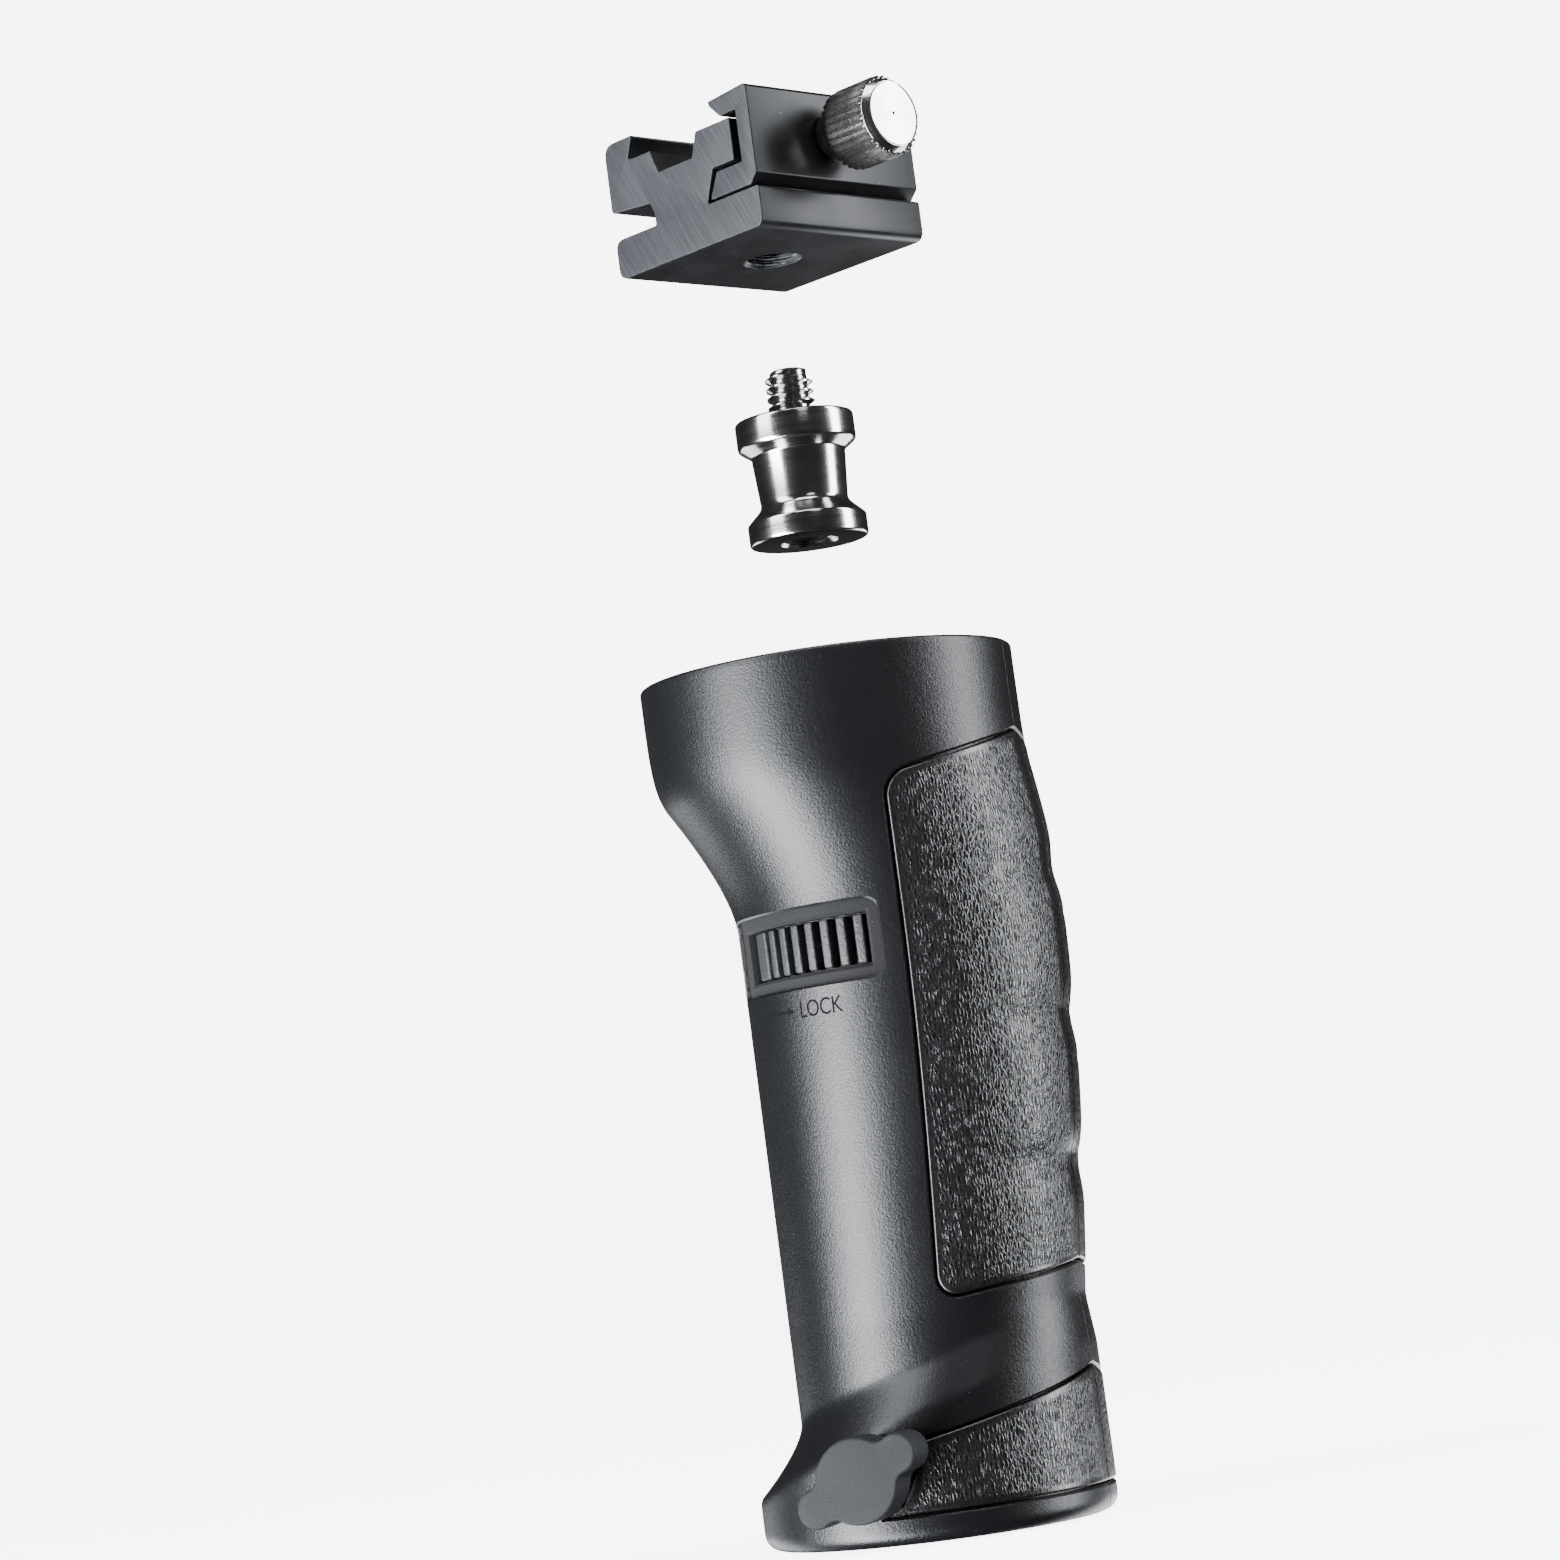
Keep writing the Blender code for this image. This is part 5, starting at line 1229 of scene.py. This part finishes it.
bossOut = ((0, 0, shell["clampHeight"]), (0, -1, 0))   # where the clamp's boss starts, and its way out
clampSet = {
    "nutAcross": 0.0082, "nutLength": 0.0048, "radius": 0.00295, "padTip": 0.0067, "padRadius": 0.0031,
    "padLength": 0.0036, "tipRadius": 0.0016, "tipLength": 0.0014, "threadGap": 0.00012, "pitch": 0.001,
    "threadDepth": 0.0005, "face": 0.0284, "thick": 0.0054, "disc": 0.0054, "lobe": 0.0025,
    "lobeReach": 0.0064, "fillet": 0.0016, "edge": 0.0004, "hubRadius": 0.0043, "hubLength": 0.0026,
    "tilt": radians(27),
}
makeCap()
makeBasePlate()
makeSpigotSocket()
makeClampShoe()
makeStandSocket()
print("sockets and plates made")


# wing knob with its screw, nut and pressure pad

def knobOutline(inset):
    # a disc with a lobe at each end and hollow fillets between, drawn in by an inset
    disc, lobe, hollow = clampSet["disc"] - inset, clampSet["lobe"] - inset, clampSet["fillet"] + inset
    reach, toFillet, lobeToFillet = clampSet["lobeReach"], disc + hollow, lobe + hollow
    turn = acos((reach ** 2 + toFillet ** 2 - lobeToFillet ** 2) / (2 * reach * toFillet))
    fillet = (toFillet * cos(turn), toFillet * sin(turn))
    lean = atan2(fillet[1], fillet[0] - reach)
    outline = []
    for side in (0, pi):
        half = arcPoints((reach, 0), lobe, -lean, lean, 28)
        half += arcPoints(fillet, hollow, lean - pi, turn - pi, 10)[1:]
        half += arcPoints((0, 0), disc, turn, pi - turn, 28)[1:]
        half += arcPoints((-fillet[0], fillet[1]), hollow, -turn, -lean, 10)[1:-1]
        cosine, sine = cos(side + clampSet["tilt"]), sin(side + clampSet["tilt"])
        outline += [(x * cosine - y * sine, x * sine + y * cosine) for x, y in half]
    return outline


def makeClamp():
    gap, edge, face = inside["gap"], clampSet["edge"], clampSet["face"]
    back, reach, radius = face - clampSet["thick"], inside["bossReach"], clampSet["radius"]
    out = (Vector((axisX, axisY, shell["clampHeight"])), (0, -1, 0))
    screwEnd = face - clampSet["thick"] / 3
    levels = [(back, edge), (back + edge * 0.3, edge * 0.3), (back + edge, 0.0)]
    levels += [(face - edge + edge * sin(t), edge * (1 - cos(t))) for t in quarterTurns(0, 5)]
    knob = loft("wingKnob", [[(x, y, z) for x, y in knobOutline(inset)] for z, inset in levels])
    hubFoot, hubTop = back - clampSet["hubLength"], back + clampSet["thick"] / 2
    carved(knob, [rod("knobHub", clampSet["hubRadius"], hubFoot, hubTop, 64, 0.0002)], "UNION")
    carved(knob, [rod("knobBore", radius + gap, 0, screwEnd + gap, 48)])
    aimed(knob, *out)
    finished(knob, knobPlastic, "wing_screw", "knob", "wing_knob", degrees=40)

    padTip, padRadius = clampSet["padTip"], clampSet["padRadius"]
    padBack = padTip + clampSet["padLength"]
    tip, tipLength, soft = clampSet["tipRadius"], clampSet["tipLength"], 0.0001
    tipHole, tipFloor = tip + gap, padBack - (tipLength + gap)
    pad = turned("pressurePad", softened(
        [(0, padTip), (padRadius, padTip, 0.0005), (padRadius, padBack, 0.0002), (tipHole, padBack),
         (tipHole, tipFloor), (0, tipFloor)], soft), 64)
    finished(aimed(pad, *out), turnedBrass, "clamp_pad", "brass", "clamp_pad")

    shoulder = padBack + gap
    wingScrew = turned("wingScrew", softened(
        [(0, shoulder - tipLength), (tip, shoulder - tipLength, 0.0003), (tip, shoulder),
         (radius, shoulder, 0.0004), (radius, screwEnd), (0, screwEnd)], soft), 64)
    pitch = clampSet["pitch"]
    carved(wingScrew, [helix("screwGroove", radius + 0.0002, radius - clampSet["threadDepth"], pitch,
                             shoulder - pitch, back - 0.001, pitch * 0.9, pitch * 0.15)])
    finished(aimed(wingScrew, *out), zincSteel, "wing_screw", "steel", "wing_screw")

    nutFoot = reach - clampSet["nutLength"] + gap
    nut = prism("clampNut", hexagon(clampSet["nutAcross"] / 2), nutFoot, reach, 0.0003, 3)
    carved(nut, [rod("nutHole", radius + clampSet["threadGap"], 0, 0.03, 64)])
    finished(aimed(nut, *out), turnedBrass, "handle", "brass", "clamp_nut")
    print("clamp made")


makeClamp()


# case screws, set out by Geometry Nodes

def makeSpotCopies():
    # Geometry Nodes: copies of another object on the given points
    inputs = (("Geometry", "Geometry"), ("Shape", "Object"), ("Turn", "Vector"), ("Material", "Material"))
    tree, given, put = newTree("spotCopies", inputs, ("Geometry",), "Geometry")
    shape = node(tree, "GeometryNodeObjectInfo", None, Object=given["Shape"]).outputs["Geometry"]
    return dressedCopies(tree, given, put, given["Geometry"], shape, given["Turn"])


def makeCaseScrews():
    seat, radius, high, shaft = screw["seat"], screw["headRadius"], screw["headHeight"], screw["shaft"]
    foot, top = seat - screw["length"], seat + high
    one = turned("oneScrew", softened(
        [(0, foot), (shaft / 2, foot), (shaft, foot + shaft), (shaft, seat, 0.0001), (radius, seat, 0.0002),
         (radius, seat + high * 0.6, 0.0006), (radius * 0.7, top), (0, top)], 0.0002), 48)
    wide, span = screw["crossWidth"] / 2, screw["crossSpan"] / 2
    cuts = []
    for x, y in ((span, wide), (wide, span)):
        corners = ((-x, -y), (x, -y), (x, y), (-x, y))
        cuts.append(loft("cross", [[(a * s, b * s, z) for a, b in corners]
                                   for z, s in ((top - screw["crossDepth"], 0.6), (top + 0.001, 1.15))]))
    carved(one, cuts)
    piece = meshPiece("caseScrews", [(axisX + x, axisY, height) for x, height in screw["places"]], [])
    copied(piece, makeSpotCopies(), Shape=one, Turn=(-pi / 2, 0.0, 0.0), Material=zincSteel)
    bpy.data.objects.remove(one)
    finished(piece, zincSteel, "handle", "steel", *[f"case_screw_{i}" for i in (1, 2, 3, 4)])
    print("case screws", len(piece.data.polygons), "faces")


makeCaseScrews()


# spigot, turned and threaded

spigot = {
    "foot": spigotLow.z, "length": 0.0168, "radius": 0.00795, "waistTop": 0.0063, "waistLow": 0.0058,
    "topLand": 0.0037, "topSlope": 0.0012, "lowLand": 0.0029, "lowSlope": 0.0021, "edge": 0.0004,
    "thread": 0.003175, "threadLength": 0.0065, "threadCore": 0.00245, "pitch": 0.00127, "hole": 0.003295,
    "holeDepth": 0.0095, "chamfer": 0.0006, "groove": 0.00045, "tapOver": 0.001,
}


def tapTool(name, depth):
    # bore and thread groove of a quarter-inch hole that opens downwards at its foot
    hole, pitch, chamfer, over = spigot["hole"], spigot["pitch"], spigot["chamfer"], spigot["tapOver"]
    mouth = hole + chamfer + over
    bore = turned(name, [(0, -over), (mouth, -over), (hole, chamfer), (hole, depth), (0, depth)], 64)
    groove = helix(name + "Thread", hole - 0.0002, hole + spigot["groove"], pitch, 0.0001, depth - pitch,
                   pitch * 0.9, pitch * 0.2)
    return [bore, groove]


def makeSpigot():
    foot, edge, core, pitch = spigot["foot"], spigot["edge"], spigot["threadCore"], spigot["pitch"]
    top, radius = foot + spigot["length"], spigot["radius"]
    tip, lowLand, topLand = top + spigot["threadLength"], foot + spigot["lowLand"], top - spigot["topLand"]
    body = turned("spigotBody", softened([
        (0, foot), (radius, foot, edge * 1.4), (radius, lowLand, 0.0005),
        (spigot["waistLow"], lowLand + spigot["lowSlope"], 0.0016),
        (spigot["waistTop"], topLand - spigot["topSlope"], 0.0004),
        (radius, topLand, 0.0008), (radius, top, edge * 1.4), (core, top, 0.0002),
        (core, tip, 0.0005), (0, tip)], 0.0003, 6), 160)
    ridge = helix("spigotThread", core - 0.0001, spigot["thread"], pitch,
                  top + pitch * 0.6, tip - pitch * 0.45, pitch * 0.88, pitch * 0.14, 64)
    carved(body, [ridge], "UNION")
    up = Matrix.Translation((0, 0, foot))
    carved(body, [moved(tool, up) for tool in tapTool("spigotTap", spigot["holeDepth"])])
    finished(moved(body, upright), spigotPlate, "spigot", "spigot", "spigot", degrees=28)
    print("spigot", len(body.data.polygons), "faces")


makeSpigot()


# cold-shoe adapter: extruded profiles, sawn off to length

adapterPlace = Matrix.Translation((axisX, axisY, adapter["foot"])) @ Matrix.Rotation(adapter["turn"], 4, "Z")


def sawnOff(name, profile):
    # a profile across the adapter, drawn out along its length, with its sawn edges just broken
    rounded = softened(profile, adapter["softEdge"], 4, closed=True)
    outline = [(x - adapter["width"] / 2, z) for x, z in rounded]
    piece = prism(name, outline, -adapter["length"] / 2, adapter["length"] / 2, adapter["sawEdge"], 3)
    return moved(piece, Matrix.Rotation(radians(90), 4, "X"))


def makeShoeBase():
    a = adapter
    width, slab, ledge, top, base = a["width"], a["slab"], a["ledge"], a["blockTop"], a["baseEdge"]
    corner, edge, under, slotTop = a["slabCorner"], a["edge"], a["undercut"], slab + a["slotHeight"]
    start, end, slope, floor = a["reliefStart"], a["reliefEnd"], a["reliefSlope"], a["reliefFloor"]
    piece = sawnOff("shoeBase", [
        (0, 0, corner), (width, 0, corner), (width, slab, edge), (a["tongueRoot"], slab),
        (a["tongueTip"], a["tongueTop"]), (base, a["tongueTop"], edge), (base, ledge), (end, ledge),
        (end - slope, floor), (start + slope, floor), (start, ledge), (a["lipLow"], ledge),
        (a["blockLip"], top), (0, top, a["blockCorner"]), (0, slotTop, edge),
        (a["slotDepth"] - under / 2, slotTop - under / 2), (a["slotDepth"], slotTop - under * 1.5),
        (a["slotDepth"], slab), (0, slab, corner)])
    hole = rod("studHole", a["studRadius"] + a["studGap"], 0, width, 48)
    stud = aimed(hole, (end + a["studWall"] - width / 2, 0, a["thumbHeight"]), (1, 0, 0))
    carved(piece, [*tapTool("shoeTap", spigot["threadLength"] + 2 * a["gap"]), stud])
    finished(moved(piece, adapterPlace), blackAlloy, "shoe", "alloy", "shoe_base")


def makeShoeJaw():
    a = adapter
    width, floor, top, gap, edge = a["width"], a["slab"] + a["gap"], a["jawTop"], a["jawGap"], a["edge"]
    inner, lipTip, lipLow, bevel = width - a["jawWall"], width - a["jawLip"], a["ledge"] + gap, a["jawBevel"]
    under = a["tongueTop"] - gap
    piece = sawnOff("shoeJaw", [
        (a["tongueRoot"] + gap, floor), (width - bevel, floor), (width, floor + bevel, 0.0004),
        (width, top - edge), (width - edge, top), (lipTip, top - edge),
        (lipTip + edge / 2, top - a["jawLipFace"]), (lipTip + a["jawLipRun"], lipLow), (inner, lipLow),
        (inner, under), (a["tongueTip"] + gap, under)])
    hole = rod("jawHole", a["studRadius"] + a["gap"], 0, width, 48)
    carved(piece, [aimed(hole, (0, 0, a["thumbHeight"]), (1, 0, 0))])
    finished(moved(piece, adapterPlace), blackAlloy, "jaw", "alloy", "shoe_jaw")


makeShoeBase()
makeShoeJaw()
print("adapter made")


# knurled thumb screw

thumb = {
    "neckRadius": 0.0034, "neckLength": 0.0028, "headRadius": 0.0054, "headLength": 0.0088, "bevel": 0.0009,
    "reach": 0.0085, "ridges": 32, "ridgeDepth": 0.00042, "ridgeFoot": 0.0003, "ringWidth": 0.0013,
    "rippleDepth": 0.000005, "ripples": 14, "pip": 0.0003, "dish": 0.0001,
}


def makeThumbScrew():
    low, high = thumb["neckLength"], thumb["neckLength"] + thumb["headLength"]
    core, bevel, tip = thumb["headRadius"] - thumb["ridgeDepth"], thumb["bevel"], thumb["headRadius"]
    stud, neck, gap, reach = adapter["studRadius"], thumb["neckRadius"], adapter["gap"], thumb["reach"]
    face, level, steps = core - thumb["ringWidth"] * 0.5, high - thumb["dish"], thumb["ripples"] * 4
    outer = softened([(0, -reach), (stud, -reach, 0.0004), (stud, gap), (neck, gap, 0.0002), (neck, low),
                      (core - bevel / 2, low), (core, low + bevel), (core, high - bevel), (face, high),
                      (face - 0.0002, level)], 0.0001, 3)
    # turning marks on the end face: shallow rings that narrow to the pip
    ripples = [(between(face - 0.0003, thumb["pip"] * 1.5, i / steps),
                level - thumb["rippleDepth"] * (1 + sin(pi / 2 * i))) for i in range(steps)]
    pip = [(thumb["pip"], level), (thumb["pip"] * 0.4, high - 0.0003), (0, high - 0.0003)]
    body = turned("thumbScrew", outer + ripples + pip, 128)
    count, sunk, ridge = thumb["ridges"], -thumb["ridgeFoot"], thumb["ridgeDepth"]
    wide = pi * (core + tip) / count / 2 * 0.98
    levels = ((low + bevel * 0.3, 0.25), (low + bevel * 1.1, 1),
              (high - bevel * 1.2, 1), (high - bevel * 0.95, 0.25))
    knurl = loft("knurl", [[(sunk, -wide * share, z), (ridge * share, 0, z), (sunk, wide * share, z)]
                           for z, share in levels])
    copied(knurl, roundCopies, Count=count, Start=0.0, Pitch=tau / count, Radius=core,
           Material=screwPlate)
    carved(body, [knurl], "UNION")
    aimed(body, (adapter["width"] / 2, 0, adapter["thumbHeight"]), (1, 0, 0))
    finished(moved(body, adapterPlace), screwPlate, "thumb_screw", "nickel", "thumb_screw", degrees=24)
    print("thumb screw", len(body.data.polygons), "faces")


makeThumbScrew()
